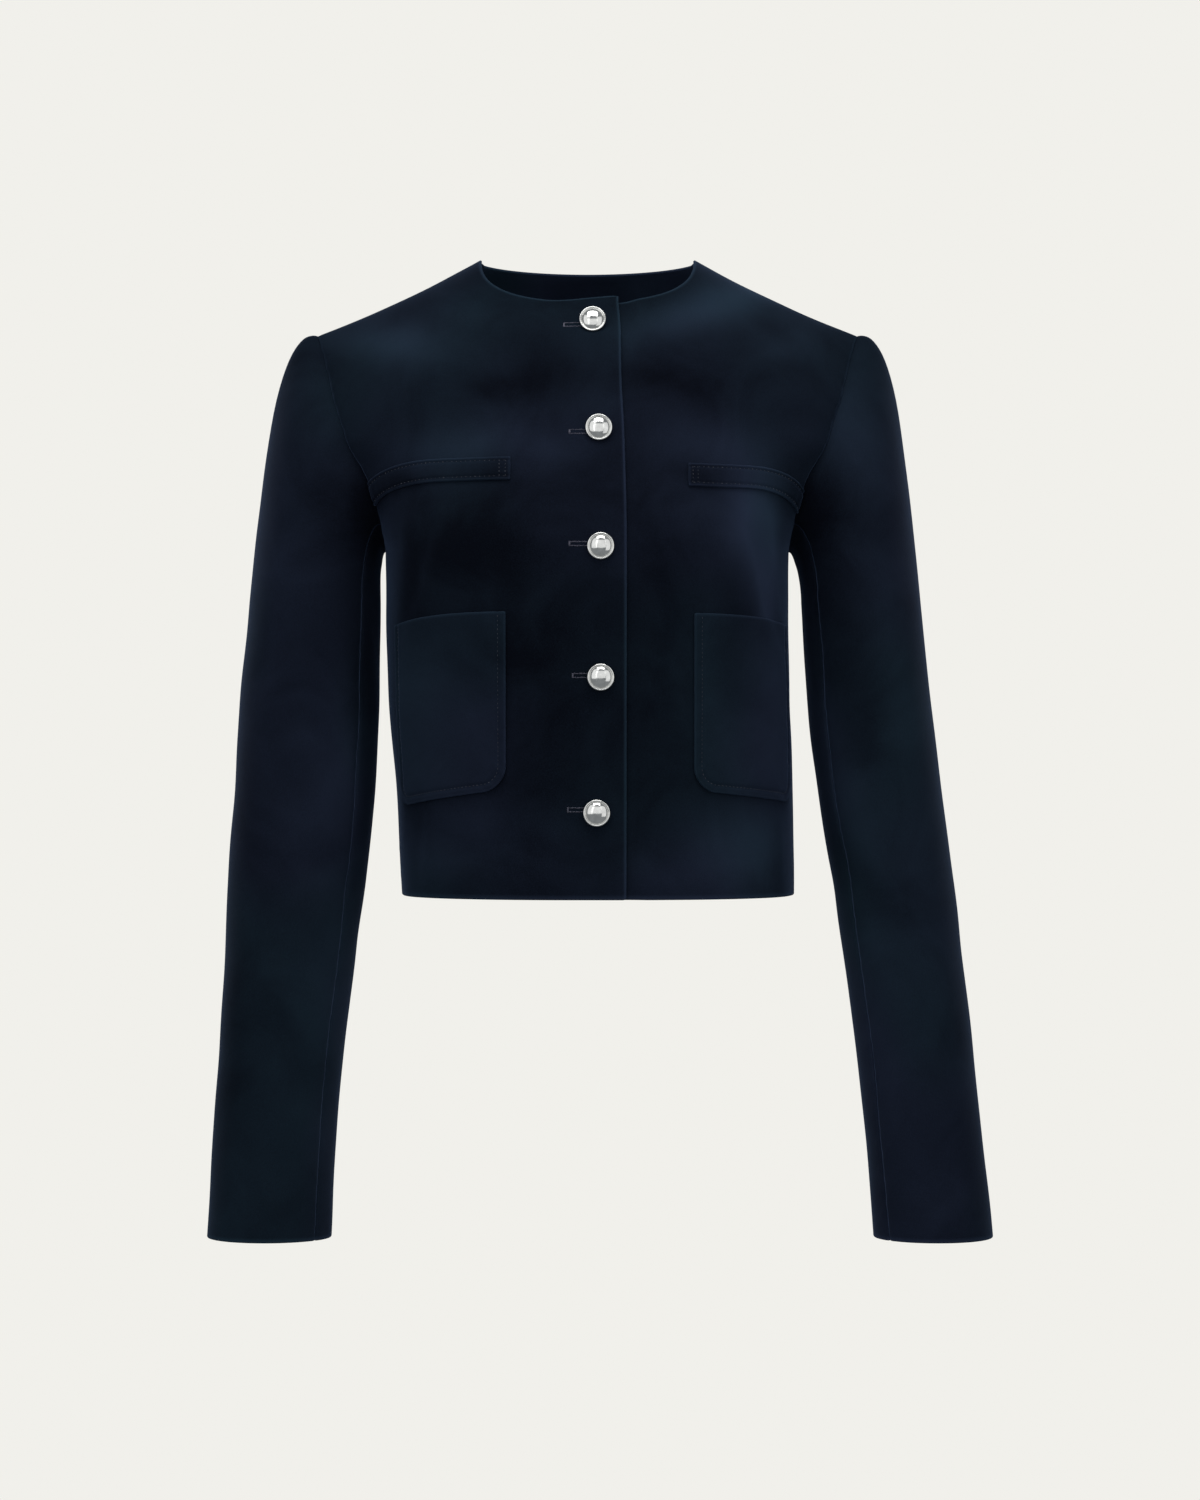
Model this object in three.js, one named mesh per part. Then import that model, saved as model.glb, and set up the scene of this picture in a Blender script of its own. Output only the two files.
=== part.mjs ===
// A cropped, collarless velvet jacket. It is hollow, as when it is worn: the cloth keeps the shape
// of a general figure, and the neck, hem and cuffs are open.
// Millimetres, +Z up, the front faces -Y and +X is the wearer's left.
// The origin is midway between the neck points, at the top of the shoulder line.
import * as THREE from "three";

// Cloth and seams
const WALL = 2;
const SEAM_GAP = 0.3;
const SEWN_ON_GAP = 0.6;
const POCKET_WALL = 2;
const WELT_WALL = 1.8;

// Heights of the body
const HEM_Z = -435;
const ARMPIT_Z = -201;
const SHOULDER_ROUND = 80;
const ROWS_FOLLOW_SHOULDER_FROM = -150;

// The shoulder line, seen from the front: it falls away from the neck point
const NECK_POINT_X = 76;
const SHOULDER_FALL = 0.555;
const SHOULDER_EASE = 0.00085;

// The round neckline
const NECK_HALF = 74;
const NECK_DROP = 35;
const NECK_SQUARE = 2.5;
const BACK_NECK_DROP = 1;
const NECK_CORNER = { rise: 3.5, from: -30, to: 20 };

// The fronts lap over at the buttons, the wearer's right one on top
const LAP = 33;
const LAP_STEP = 3.2;
const LAP_EASE = { from: 4, to: 18 };

// Fullness of the fronts over the bust, shaped by the cut
const BUST = { x: 82, z: -188, wide: 52, tall: 60, depth: 6 };

// Sections of the body: depth from the side plane, half width and squareness of the oval
const FRONT_SECTIONS = [
  { z: -435, depth: 117, half: 134.8, square: 2.5 },
  { z: -360, depth: 121, half: 136.3, square: 2.55 },
  { z: -290, depth: 126, half: 138, square: 2.6 },
  { z: -240, depth: 129, half: 138, square: 2.65 },
  { z: -201, depth: 130, half: 138.4, square: 2.6 },
  { z: -186, depth: 129, half: 143, square: 2.4 },
  { z: -172, depth: 127, half: 150, square: 2.15 },
  { z: -150, depth: 122, half: 168, square: 1.85 },
  { z: -125, depth: 114, half: 187, square: 1.75 },
  { z: -90, depth: 100, half: 194, square: 1.7 },
  { z: -60, depth: 84, half: 192, square: 1.8 },
  { z: -33, depth: 68, half: 190, square: 1.9 },
  { z: 25, depth: 66, half: 190, square: 1.9 },
];
const BACK_SECTIONS = [
  { z: -435, depth: 103, half: 134.8, square: 2.5 },
  { z: -360, depth: 101, half: 136.3, square: 2.55 },
  { z: -290, depth: 103.5, half: 138, square: 2.6 },
  { z: -240, depth: 108.5, half: 138, square: 2.65 },
  { z: -201, depth: 112, half: 138.4, square: 2.6 },
  { z: -186, depth: 113.2, half: 145, square: 2.4 },
  { z: -172, depth: 114, half: 156, square: 2.15 },
  { z: -150, depth: 114.8, half: 176, square: 1.85 },
  { z: -125, depth: 114, half: 193, square: 1.75 },
  { z: -90, depth: 109.5, half: 196, square: 1.75 },
  { z: -60, depth: 103, half: 192, square: 1.8 },
  { z: -33, depth: 97, half: 190, square: 1.9 },
  { z: 25, depth: 92, half: 190, square: 1.9 },
];

// The jacket leans a little: where the middle of each section is
const LEAN = [
  { z: -435, x: 5.3 },
  { z: -360, x: 3.1 },
  { z: -300, x: -0.4 },
  { z: -235, x: -1.9 },
  { z: 25, x: -1.6 },
];

// The edge of the upper front, and the armholes by height and angle round the section
const FRONT_EDGE = [
  { z: -435, x: 23.4 },
  { z: -200, x: 23.5 },
  { z: -124, x: 22 },
  { z: -86, x: 20.2 },
  { z: -54, x: 19.8 },
  { z: -31, x: 18.1 },
];
const FRONT_ARMHOLE = [
  { z: -201, angle: 90 },
  { z: -199.5, angle: 84 },
  { z: -196, angle: 79 },
  { z: -186, angle: 74.5 },
  { z: -172, angle: 70.8 },
  { z: -150, angle: 66.6 },
  { z: -125, angle: 65.7 },
  { z: -90, angle: 69.6 },
  { z: -66, angle: 74 },
  { z: -51, angle: 78.5 },
];
const BACK_ARMHOLE = [
  { z: -201, angle: 90 },
  { z: -199.5, angle: 84 },
  { z: -196, angle: 79.5 },
  { z: -186, angle: 75 },
  { z: -172, angle: 71.5 },
  { z: -150, angle: 66.5 },
  { z: -125, angle: 65.2 },
  { z: -90, angle: 69.2 },
  { z: -66, angle: 74 },
  { z: -51, angle: 78.5 },
];

// Sections of the sleeves: outer and inner silhouette of each, middle and half depth
const SLEEVE_SECTIONS = [
  { z: -669, outerR: 262.2, innerR: 176.8, outerL: 275.9, innerL: 194, fore: -20, deep: 38 },
  { z: -600, outerR: 258.6, innerR: 173.5, outerL: 269, innerL: 188.2, fore: -15, deep: 41 },
  { z: -540, outerR: 254.6, innerR: 168.8, outerL: 262.9, innerL: 182.6, fore: -10.5, deep: 44 },
  { z: -480, outerR: 251.2, innerR: 161.1, outerL: 256.6, innerL: 174.6, fore: -6.5, deep: 47.5 },
  { z: -420, outerR: 248.9, innerR: 153.3, outerL: 249.1, innerL: 165.8, fore: -4, deep: 50.5 },
  { z: -360, outerR: 244.6, innerR: 147.9, outerL: 241.7, innerL: 156, fore: -2, deep: 53 },
  { z: -300, outerR: 240.8, innerR: 145.2, outerL: 234.6, innerL: 149.7, fore: -1, deep: 55.5 },
  { z: -235, outerR: 234.7, innerR: 144.5, outerL: 227.6, innerL: 145.6, fore: 0, deep: 57 },
];

// The sleeve head: how it leaves the armhole, by the angle from the shoulder point
const HEAD = { forward: 0.4, rise: 0.1, fall: 0.35, lift: 0.5, liftPower: 4 };
const HEAD_REACH = { low: 5, top: 26, power: 0.8 };
const HEAD_GAP = 0.45;
const HEAD_HANG = { even: 0.45, top: 0.23, flare: 0.1 };
const HEAD_STEPS = [0, 0.07, 0.15, 0.25, 0.37, 0.5, 0.66, 0.83, 1];
const SLEEVE_RINGS = 15;
const FRONT_SEAM_SHARE = 0.8;
const BACK_SEAM_SHARE = 0.7;

// The largest soft folds of the sleeves: troughs, or ridges where the depth is negative
const SLEEVE_FOLDS = [
  { hand: -1, z: -322, turn: 118, tilt: 20, long: 46, wide: 15, depth: 2.6 },
  { hand: -1, z: -416, turn: 112, tilt: 54, long: 36, wide: 15, depth: 2.8 },
  { hand: 1, z: -352, turn: 112, tilt: 4, long: 70, wide: 20, depth: -2 },
  { hand: 1, z: -428, turn: 128, tilt: -38, long: 34, wide: 15, depth: 2.4 },
  { hand: -1, z: -385, turn: 232, tilt: -48, long: 42, wide: 16, depth: 2.6 },
  { hand: 1, z: -395, turn: 236, tilt: 46, long: 42, wide: 16, depth: 2.6 },
  { hand: 1, z: -268, turn: 20, tilt: 30, long: 42, wide: 15, depth: 2.6 },
  { hand: 1, z: -330, turn: 330, tilt: -34, long: 44, wide: 16, depth: 2.8 },
];

// Patch pockets and chest welts, by the wearer's side. A pocket's mouth falls by `fall` towards the
// side seam, more and more steeply, and its straight bottom edge by `slant`.
const POCKETS = [
  { name: "patch_pocket_right", hand: -1, x: 55.7, top: -246, width: 97, fall: 7.5, slant: 12.5 },
  { name: "patch_pocket_left", hand: 1, x: 69.5, top: -247, width: 95, fall: 6.5, slant: 9 },
];
const POCKET_TALL = 116;
const POCKET_CORNER = 15;
const WELTS = [
  { name: "chest_welt_right", hand: -1, x: 52.5, z: -151, curve: 12 },
  { name: "chest_welt_left", hand: 1, x: 65.5, z: -155, curve: 13 },
];
const WELT_TALL = 14.5;
const WELT_STRAIGHT = 0.4;
const WELT_STOP = 1.6;

// Five domed metal buttons: flat back, rolled rim, groove and plain dome, in shares of the radius
const BUTTON_RADIUS = 9;
const BUTTON_TURN = 0.6; // how far it swings on its shank, from square on the cloth to straight ahead
const BUTTON_SIDES = 16;
const BUTTON_PROFILE = [
  { out: 0, up: 0 },
  { out: 0.82, up: 0 },
  { out: 0.98, up: 0.1 },
  { out: 1, up: 0.22 },
  { out: 0.93, up: 0.33 },
  { out: 0.82, up: 0.29 },
  { out: 0.6, up: 0.44 },
  { out: 0.32, up: 0.53 },
  { out: 0, up: 0.56 },
];
const BUTTONS = [
  { name: "button_1", x: 1.9, z: -50, lift: 2.29 },
  { name: "button_2", x: 6, z: -124.3, lift: 1.66 },
  { name: "button_3", x: 7.4, z: -202.6, lift: 0.44 },
  { name: "button_4", x: 7.4, z: -288.7, lift: 0.67 },
  { name: "button_5", x: 4.7, z: -378.2, lift: 0.62 },
];

// How finely the pieces are divided
const SIDE_ROWS = [HEM_Z, -405, -365, -325, -285, -250, -223, ARMPIT_Z];
const ARMHOLE_STEPS = 14;
const EDGE_STEPS = 6;
const OVER_FRONT_COLUMNS = [0, 0.07, 0.15, 0.24, 0.33, 0.42, 0.51, 0.6, 0.69, 0.78, 0.86, 0.93, 1];
const UNDER_FRONT_COLUMNS = [0, 0.08, 0.16, 0.22, 0.29, 0.37, 0.46, 0.55, 0.64, 0.73, 0.82, 0.91, 1];
const NECK_COLUMN = 0.3;
const BACK_HALF_COLUMNS = [0, 0.08, 0.16, 0.235, NECK_COLUMN, 0.4, 0.5, 0.6, 0.7, 0.8, 0.9, 1];
const NECK_DIP_REACH = 120;
const BACK_ROW_BUNCH = 1.35;
const POCKET_SIDE_ROWS = [0, 0.17, 0.34, 0.51, 0.68, 0.85];
const POCKET_CORNER_TURNS = [0, 30, 55, 75, 88];
const POCKET_COLUMNS = [0, 0.12, 0.25, 0.38, 0.5, 0.62, 0.75, 0.88, 1];
const WELT_STEPS = 13;

// How finely curves are measured and points are sought
const CURVE_SAMPLES = 400;
const WALK_STEPS = 24;
const SECTION_PASSES = 5;
const HALVINGS = 40;
const NUDGE = { angle: 1e-3, height: 0.05 };

const FRONT = { y: -1, sections: FRONT_SECTIONS, armhole: FRONT_ARMHOLE };
const BACK = { y: 1, sections: BACK_SECTIONS, armhole: BACK_ARMHOLE };
const DEGREE = Math.PI / 180;

const velvet = { color: 0x0d1526, roughness: 0.95, metalness: 0 };
const silver = { color: 0xc9ccd0, roughness: 0.18, metalness: 1 };

const mix = (a, b, share) => a + (b - a) * share;

function smoothstep(from, to, value) {
  const share = Math.min(1, Math.max(0, (value - from) / (to - from)));
  return share * share * (3 - 2 * share);
}

// A smooth curve through a table's rows that never overshoots them.
function along(table, key, at, by = "z") {
  const rows = table[0][by] < table[table.length - 1][by] ? table : [...table].reverse();
  const place = Math.min(rows[rows.length - 1][by], Math.max(rows[0][by], at));
  let i = 0;
  while (i < rows.length - 2 && rows[i + 1][by] < place) i += 1;
  const rate = (k) => (rows[k + 1][key] - rows[k][key]) / (rows[k + 1][by] - rows[k][by]);
  const slope = (k) => {
    if (k === 0) return rate(0);
    if (k === rows.length - 1) return rate(k - 1);
    const before = rate(k - 1);
    const after = rate(k);
    return before * after <= 0 ? 0 : (2 * before * after) / (before + after);
  };
  const step = rows[i + 1][by] - rows[i][by];
  const t = (place - rows[i][by]) / step;
  const rise = smoothstep(0, 1, t);
  const bend = t * (1 - t) * ((1 - t) * slope(i) - t * slope(i + 1)) * step;
  return mix(rows[i][key], rows[i + 1][key], rise) + bend;
}

// Sine and cosine on an oval that is squarer the larger its exponent.
function oval(angle, square) {
  const across = Math.sin(angle);
  const ahead = Math.cos(angle);
  const reach = (Math.abs(across) ** square + Math.abs(ahead) ** square) ** (-1 / square);
  return { across: across * reach, ahead: ahead * reach };
}

function ovalAngle(share, square) {
  const kept = Math.min(1, Math.abs(share));
  return Math.sign(share) * Math.atan2(kept, (1 - kept ** square) ** (1 / square));
}

// Height of the shoulder line over a distance from the middle, carried on over the neck.
function shoulderLine(distance) {
  const out = Math.abs(distance) - NECK_POINT_X;
  if (out > 0) return -(SHOULDER_FALL * out - SHOULDER_EASE * out * out);
  const share = distance / NECK_POINT_X;
  return (SHOULDER_FALL * NECK_POINT_X * (1 - share * share)) / 2;
}

const followsShoulder = (height) => smoothstep(ROWS_FOLLOW_SHOULDER_FROM, 0, height);

// A point of the body's outer face. The angle goes round the section from the middle, and the
// height is z low down and becomes 0 along the whole shoulder line at the top.
function bodyPoint(half, angle, height, inset = 0) {
  const low = -Math.abs(height);
  const beyond = height > 0 ? -1 : 1;
  let z = low;
  let out = 0;
  let ahead = 0;
  for (let pass = 0; pass < SECTION_PASSES; pass += 1) {
    const round = oval(angle, along(half.sections, "square", z));
    out = along(half.sections, "half", z) * round.across;
    ahead = round.ahead;
    z = low + followsShoulder(low) * shoulderLine(out);
  }
  const below = Math.min(1, (shoulderLine(out) - z) / SHOULDER_ROUND);
  const rounding = Math.sqrt(Math.max(0, 1 - (1 - below) ** 2));
  let deep = along(half.sections, "depth", z) * ahead * rounding;
  if (half === FRONT) {
    const side = ((Math.abs(out) - BUST.x) / BUST.wide) ** 2 + ((z - BUST.z) / BUST.tall) ** 2;
    deep += BUST.depth * ahead * Math.exp(-side);
  }
  const point = new THREE.Vector3(along(LEAN, "x", z) + out, half.y * beyond * deep, z);
  if (inset) point.addScaledVector(bodyNormal(half, angle, height), -inset);
  return point;
}

function bodyNormal(half, angle, height) {
  const { angle: turn, height: rise } = NUDGE;
  const across = bodyPoint(half, angle + turn, height).sub(bodyPoint(half, angle - turn, height));
  const up = bodyPoint(half, angle, height + rise).sub(bodyPoint(half, angle, height - rise));
  return across.cross(up).normalize().multiplyScalar(-half.y);
}

// The height coordinate of a point whose z and distance from the middle are known.
function heightAt(out, z) {
  const line = shoulderLine(out);
  let low = 2 * HEM_Z;
  let high = 0;
  for (let pass = 0; pass < HALVINGS; pass += 1) {
    const middle = (low + high) / 2;
    if (middle + followsShoulder(middle) * line > z) high = middle;
    else low = middle;
  }
  return (low + high) / 2;
}

function spotAt(half, x, z) {
  const out = x - along(LEAN, "x", z);
  const share = out / along(half.sections, "half", z);
  return { angle: ovalAngle(share, along(half.sections, "square", z)), height: heightAt(out, z) };
}

// Spots of a curve at even steps of its length on the body's face.
function evenSteps(half, curve, steps) {
  const spots = Array.from({ length: CURVE_SAMPLES + 1 }, (_, i) => curve(i / CURVE_SAMPLES));
  const points = spots.map((spot) => bodyPoint(half, spot.angle, spot.height));
  const lengths = [0];
  points.slice(1).forEach((point, i) => lengths.push(lengths[i] + point.distanceTo(points[i])));
  const total = lengths[CURVE_SAMPLES];
  return Array.from({ length: steps + 1 }, (_, step) => {
    const wanted = (total * step) / steps;
    const i = Math.max(1, lengths.findIndex((length) => length >= wanted - 1e-9));
    const share = (wanted - lengths[i - 1]) / (lengths[i] - lengths[i - 1]);
    return curve((i - 1 + share) / CURVE_SAMPLES);
  });
}

// The armhole from the armpit to the shoulder point, on the wearer's right (-1) or left (1).
function armholeSpots(half, hand, steps) {
  const rows = half.armhole.map((row, place) => ({ ...row, place }));
  const curve = (share) => {
    const place = share * (rows.length - 1);
    const z = along(rows, "z", place, "place");
    const angle = along(rows, "angle", place, "place") * DEGREE;
    const round = oval(angle, along(half.sections, "square", z));
    const out = along(half.sections, "half", z) * round.across;
    const height = share === 1 ? 0 : heightAt(out, z);
    return { angle: hand * angle, height };
  };
  return evenSteps(half, curve, steps);
}

// The edge where a panel meets the side seam and the armhole, from the hem up.
function outerEdge(half, hand) {
  const seam = SIDE_ROWS.slice(0, -1).map((z) => ({ angle: (hand * Math.PI) / 2, height: z }));
  return [...seam, ...armholeSpots(half, hand, ARMHOLE_STEPS)];
}

// The front edge from the hem to the neck, then the neckline up to the shoulder.
function frontInnerEdge(hand) {
  const over = hand < 0;
  const edgeX = (z) => along(FRONT_EDGE, "x", z) - (over ? 0 : LAP);
  const neckRise = (out) => (over ? NECK_CORNER.rise * smoothstep(NECK_CORNER.from, NECK_CORNER.to, out) : 0);
  const neckSpot = (turn) => {
    const round = oval(turn, NECK_SQUARE);
    const out = NECK_HALF * round.across;
    const z = -NECK_DROP * round.ahead + neckRise(out);
    return spotAt(FRONT, out + along(LEAN, "x", z), z);
  };
  const cornerOut = edgeX(-NECK_DROP) - along(LEAN, "x", -NECK_DROP);
  const cornerTurn = ovalAngle(cornerOut / NECK_HALF, NECK_SQUARE);
  const neckEnd = { ...spotAt(FRONT, hand * NECK_POINT_X + along(LEAN, "x", 0), 0), height: 0 };
  const neckSteps = ARMHOLE_STEPS - EDGE_STEPS;
  const curve = (share) => neckSpot(mix(cornerTurn, (hand * Math.PI) / 2, share));
  const neckline = evenSteps(FRONT, curve, neckSteps);
  neckline[neckSteps] = neckEnd;
  const cornerZ = bodyPoint(FRONT, neckline[0].angle, neckline[0].height).z;
  const rising = Array.from({ length: EDGE_STEPS }, (_, i) => mix(ARMPIT_Z, cornerZ, i / EDGE_STEPS));
  const edge = [...SIDE_ROWS.slice(0, -1), ...rising].map((z) => spotAt(FRONT, edgeX(z), z));
  return [...edge, ...neckline];
}

// Rows of spots between two edges.
function rowsBetween(inner, outer, columns) {
  return inner.map((start, row) =>
    columns.map((share) => ({
      angle: mix(start.angle, outer[row].angle, share),
      height: mix(start.height, outer[row].height, share),
    })),
  );
}

// How far the under front is set in, so that it passes behind the upper one.
function lapInset(point) {
  const past = point.x - along(FRONT_EDGE, "x", point.z);
  return LAP_STEP * (1 - smoothstep(LAP_EASE.from, LAP_EASE.to, past));
}

function frontSpots(hand) {
  const columns = hand < 0 ? OVER_FRONT_COLUMNS : UNDER_FRONT_COLUMNS;
  return rowsBetween(frontInnerEdge(hand), outerEdge(FRONT, hand), columns);
}

// The back in one piece: its rows run from armhole to armhole, and dip to the neckline on top.
function backSpots() {
  const right = outerEdge(BACK, -1);
  const left = outerEdge(BACK, 1);
  const top = left[left.length - 1].angle;
  const shares = [...BACK_HALF_COLUMNS.slice(1).map((share) => -share).reverse(), ...BACK_HALF_COLUMNS];
  const dips = shares.map((share) => {
    if (Math.abs(share) >= NECK_COLUMN) return 0;
    const out = bodyPoint(BACK, share * top, 0).x - along(LEAN, "x", 0);
    const droop = BACK_NECK_DROP * (1 - (share / NECK_COLUMN) ** 2);
    return -heightAt(out, -droop);
  });
  return left.map((edge, row) => {
    const past = Math.max(0, row - SIDE_ROWS.length + 1) / ARMHOLE_STEPS;
    const even = past > 0 ? ARMPIT_Z * (1 - past) ** BACK_ROW_BUNCH : edge.height;
    return shares.map((share, column) => {
      const angle = Math.abs(share) * (share < 0 ? right[row].angle : left[row].angle);
      const level = mix(edge.height, even, (1 - Math.abs(share)) ** 2);
      const above = Math.max(0, level + NECK_DIP_REACH);
      return { angle, height: level - (dips[column] * above) / NECK_DIP_REACH };
    });
  });
}

// A closed wall from the rows of its outer and inner faces.
function wallGeometry(outer, inner) {
  const rows = outer.length;
  const columns = outer[0].length;
  const points = [...outer.flat(), ...inner.flat()];
  const at = (layer, row, column) => (layer * rows + row) * columns + column;
  const faces = [];
  const quad = (a, b, c, d) => faces.push(a, b, c, a, c, d);
  for (let r = 0; r < rows - 1; r += 1) {
    for (let c = 0; c < columns - 1; c += 1) {
      quad(at(0, r, c), at(0, r, c + 1), at(0, r + 1, c + 1), at(0, r + 1, c));
      quad(at(1, r, c), at(1, r + 1, c), at(1, r + 1, c + 1), at(1, r, c + 1));
    }
  }
  for (let c = 0; c < columns - 1; c += 1) {
    quad(at(0, 0, c), at(1, 0, c), at(1, 0, c + 1), at(0, 0, c + 1));
    quad(at(0, rows - 1, c), at(0, rows - 1, c + 1), at(1, rows - 1, c + 1), at(1, rows - 1, c));
  }
  for (let r = 0; r < rows - 1; r += 1) {
    quad(at(0, r, 0), at(0, r + 1, 0), at(1, r + 1, 0), at(1, r, 0));
    quad(at(0, r, columns - 1), at(1, r, columns - 1), at(1, r + 1, columns - 1), at(0, r + 1, columns - 1));
  }
  return facingOut(points, faces);
}

function facingOut(points, faces) {
  let volume = 0;
  for (let i = 0; i < faces.length; i += 3) {
    const [a, b, c] = [points[faces[i]], points[faces[i + 1]], points[faces[i + 2]]];
    volume += a.dot(b.clone().cross(c));
  }
  const geometry = new THREE.BufferGeometry().setFromPoints(points);
  geometry.setIndex(volume < 0 ? [...faces].reverse() : faces);
  geometry.computeVertexNormals();
  return geometry;
}

// Moves a row's two end points towards their neighbours, so that seams stay open a little.
function trimEnds(line, first, last) {
  const toward = (from, to, gap) => from.clone().addScaledVector(to.clone().sub(from).normalize(), gap);
  const end = line.length - 1;
  const trimmed = [...line];
  trimmed[0] = toward(line[0], line[1], first);
  trimmed[end] = toward(line[end], line[end - 1], last);
  return trimmed;
}

function turned(rows) {
  return rows[0].map((_, column) => rows.map((row) => row[column]));
}

function trimTop(rows, gap) {
  return turned(turned(rows).map((line) => trimEnds(line, 0, gap)));
}

function trimSides(rows, first, last) {
  return rows.map((line) => trimEnds(line, first, last));
}

function finishedMesh(name, geometry, finish = velvet) {
  const mesh = new THREE.Mesh(geometry, new THREE.MeshStandardMaterial(finish));
  mesh.name = name;
  return mesh;
}

function bodyPanel(name, half, spots, insetOf, sideGaps) {
  const face = (depth) =>
    spots.map((row) =>
      row.map((spot) => {
        const outside = bodyPoint(half, spot.angle, spot.height);
        return bodyPoint(half, spot.angle, spot.height, insetOf(outside) + depth);
      }),
    );
  const trim = (rows) => trimSides(trimTop(rows, SEAM_GAP / 2), ...sideGaps);
  return finishedMesh(name, wallGeometry(trim(face(0)), trim(face(WALL))));
}

// One sleeve as rows round the arm, from the armhole down to the cuff.
function sleeveRows(hand) {
  const front = armholeSpots(FRONT, hand, ARMHOLE_STEPS).reverse();
  const back = armholeSpots(BACK, hand, ARMHOLE_STEPS);
  const frontPoints = front.map((spot) => bodyPoint(FRONT, spot.angle, spot.height));
  const backPoints = back.map((spot) => bodyPoint(BACK, spot.angle, spot.height));
  const starts = [...frontPoints, ...backPoints.slice(1, -1)];
  const turns = starts.map((_, i) => (Math.PI * i) / ARMHOLE_STEPS);
  const ringTop = SLEEVE_SECTIONS[SLEEVE_SECTIONS.length - 1].z;
  const head = HEAD_STEPS.slice(0, -1).map((share) =>
    starts.map((start, i) => headPoint(hand, start, turns[i], ringTop, share)),
  );
  const cuff = SLEEVE_SECTIONS[0].z;
  const rings = Array.from({ length: SLEEVE_RINGS + 1 }, (_, i) => mix(ringTop, cuff, i / SLEEVE_RINGS));
  return [...head, ...rings.map((z) => turns.map((turn) => ringPoint(hand, turn, z)))];
}

function ringPoint(hand, turn, z) {
  const letter = hand < 0 ? "R" : "L";
  const outer = along(SLEEVE_SECTIONS, `outer${letter}`, z);
  const inner = along(SLEEVE_SECTIONS, `inner${letter}`, z);
  const wide = (outer - inner) / 2 - foldDepth(hand, turn, z);
  const deep = along(SLEEVE_SECTIONS, "deep", z) - foldDepth(hand, turn, z);
  const x = hand * ((outer + inner) / 2 + wide * Math.cos(turn));
  return new THREE.Vector3(x, along(SLEEVE_SECTIONS, "fore", z) - deep * Math.sin(turn), z);
}

function foldDepth(hand, turn, z) {
  const deep = along(SLEEVE_SECTIONS, "deep", z);
  return SLEEVE_FOLDS.filter((fold) => fold.hand === hand).reduce((sum, fold) => {
    const away = turn - fold.turn * DEGREE;
    const across = Math.atan2(Math.sin(away), Math.cos(away)) * deep;
    const up = z - fold.z;
    const tilt = fold.tilt * DEGREE;
    const length = up * Math.cos(tilt) - across * Math.sin(tilt);
    const width = up * Math.sin(tilt) + across * Math.cos(tilt);
    return sum + fold.depth * Math.exp(-((length / fold.long) ** 2) - (width / fold.wide) ** 2);
  }, 0);
}

// The sleeve head: from the armhole it goes out and bends down into the first whole ring.
function headPoint(hand, start, turn, ringTop, share) {
  const low = Math.abs(Math.sin(turn));
  const high = (1 + Math.cos(turn)) / 2;
  const forward = -HEAD.forward * Math.sin(turn);
  const up = HEAD.rise * high - HEAD.fall * low + HEAD.lift * (1 - high) ** HEAD.liftPower;
  const leaving = new THREE.Vector3(hand, forward, up).normalize();
  const reach = mix(HEAD_REACH.low, HEAD_REACH.top, high ** HEAD_REACH.power);
  const end = ringPoint(hand, turn, ringTop);
  const hang = (start.z - end.z) * (HEAD_HANG.even + HEAD_HANG.top * Math.max(0, Math.cos(turn)));
  const from = start.clone().addScaledVector(leaving, HEAD_GAP);
  const out = start.clone().addScaledVector(leaving, reach);
  const above = new THREE.Vector3(end.x - hand * hang * high * HEAD_HANG.flare, end.y, end.z + hang);
  return new THREE.CubicBezierCurve3(from, out, above, end).getPoint(share);
}

// The inner face of rows that go all the way round, a wall's thickness in.
function insideRing(rows, hand) {
  const count = rows[0].length;
  return rows.map((row, r) =>
    row.map((point, c) => {
      const round = row[(c + 1) % count].clone().sub(row[(c + count - 1) % count]);
      const down = rows[Math.min(r + 1, rows.length - 1)][c].clone().sub(rows[Math.max(r - 1, 0)][c]);
      const outward = round.cross(down).normalize().multiplyScalar(hand);
      return point.clone().addScaledVector(outward, -WALL);
    }),
  );
}

// Two-piece sleeve: the top sleeve goes over the arm, the under sleeve lies against the body.
function sleevePieces(hand, word) {
  const outside = sleeveRows(hand);
  const inside = insideRing(outside, hand);
  const count = outside[0].length;
  const frontSeam = Math.round(FRONT_SEAM_SHARE * ARMHOLE_STEPS);
  const backSeam = count - Math.round(BACK_SEAM_SHARE * ARMHOLE_STEPS);
  const part = (rows, from, to) => {
    const columns = Array.from({ length: to - from + 1 }, (_, i) => (from + i + count) % count);
    const cut = rows.map((row) => columns.map((column) => row[column]));
    return trimSides(cut, SEAM_GAP / 2, SEAM_GAP / 2);
  };
  const piece = (name, from, to) =>
    finishedMesh(name, wallGeometry(part(outside, from, to), part(inside, from, to)));
  return [
    piece(`top_sleeve_${word}`, backSeam - count, frontSeam),
    piece(`under_sleeve_${word}`, frontSeam, backSeam),
  ];
}

// A piece sewn on a front: rows of spots lifted off the panel's outer face.
function sewnOn(name, spots, thickness) {
  const face = (lift) => spots.map((row) => row.map((spot) => bodyPoint(FRONT, spot.angle, spot.height, -lift)));
  return finishedMesh(name, wallGeometry(face(SEWN_ON_GAP + thickness), face(SEWN_ON_GAP)));
}

// The angle that lies a distance round the front from another one.
function walkRound(angle, height, distance) {
  let at = angle;
  for (let i = 0; i < WALK_STEPS; i += 1) {
    const span = bodyPoint(FRONT, at, height).distanceTo(bodyPoint(FRONT, at + NUDGE.angle, height));
    at += ((distance / WALK_STEPS) * NUDGE.angle) / span;
  }
  return at;
}

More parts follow.
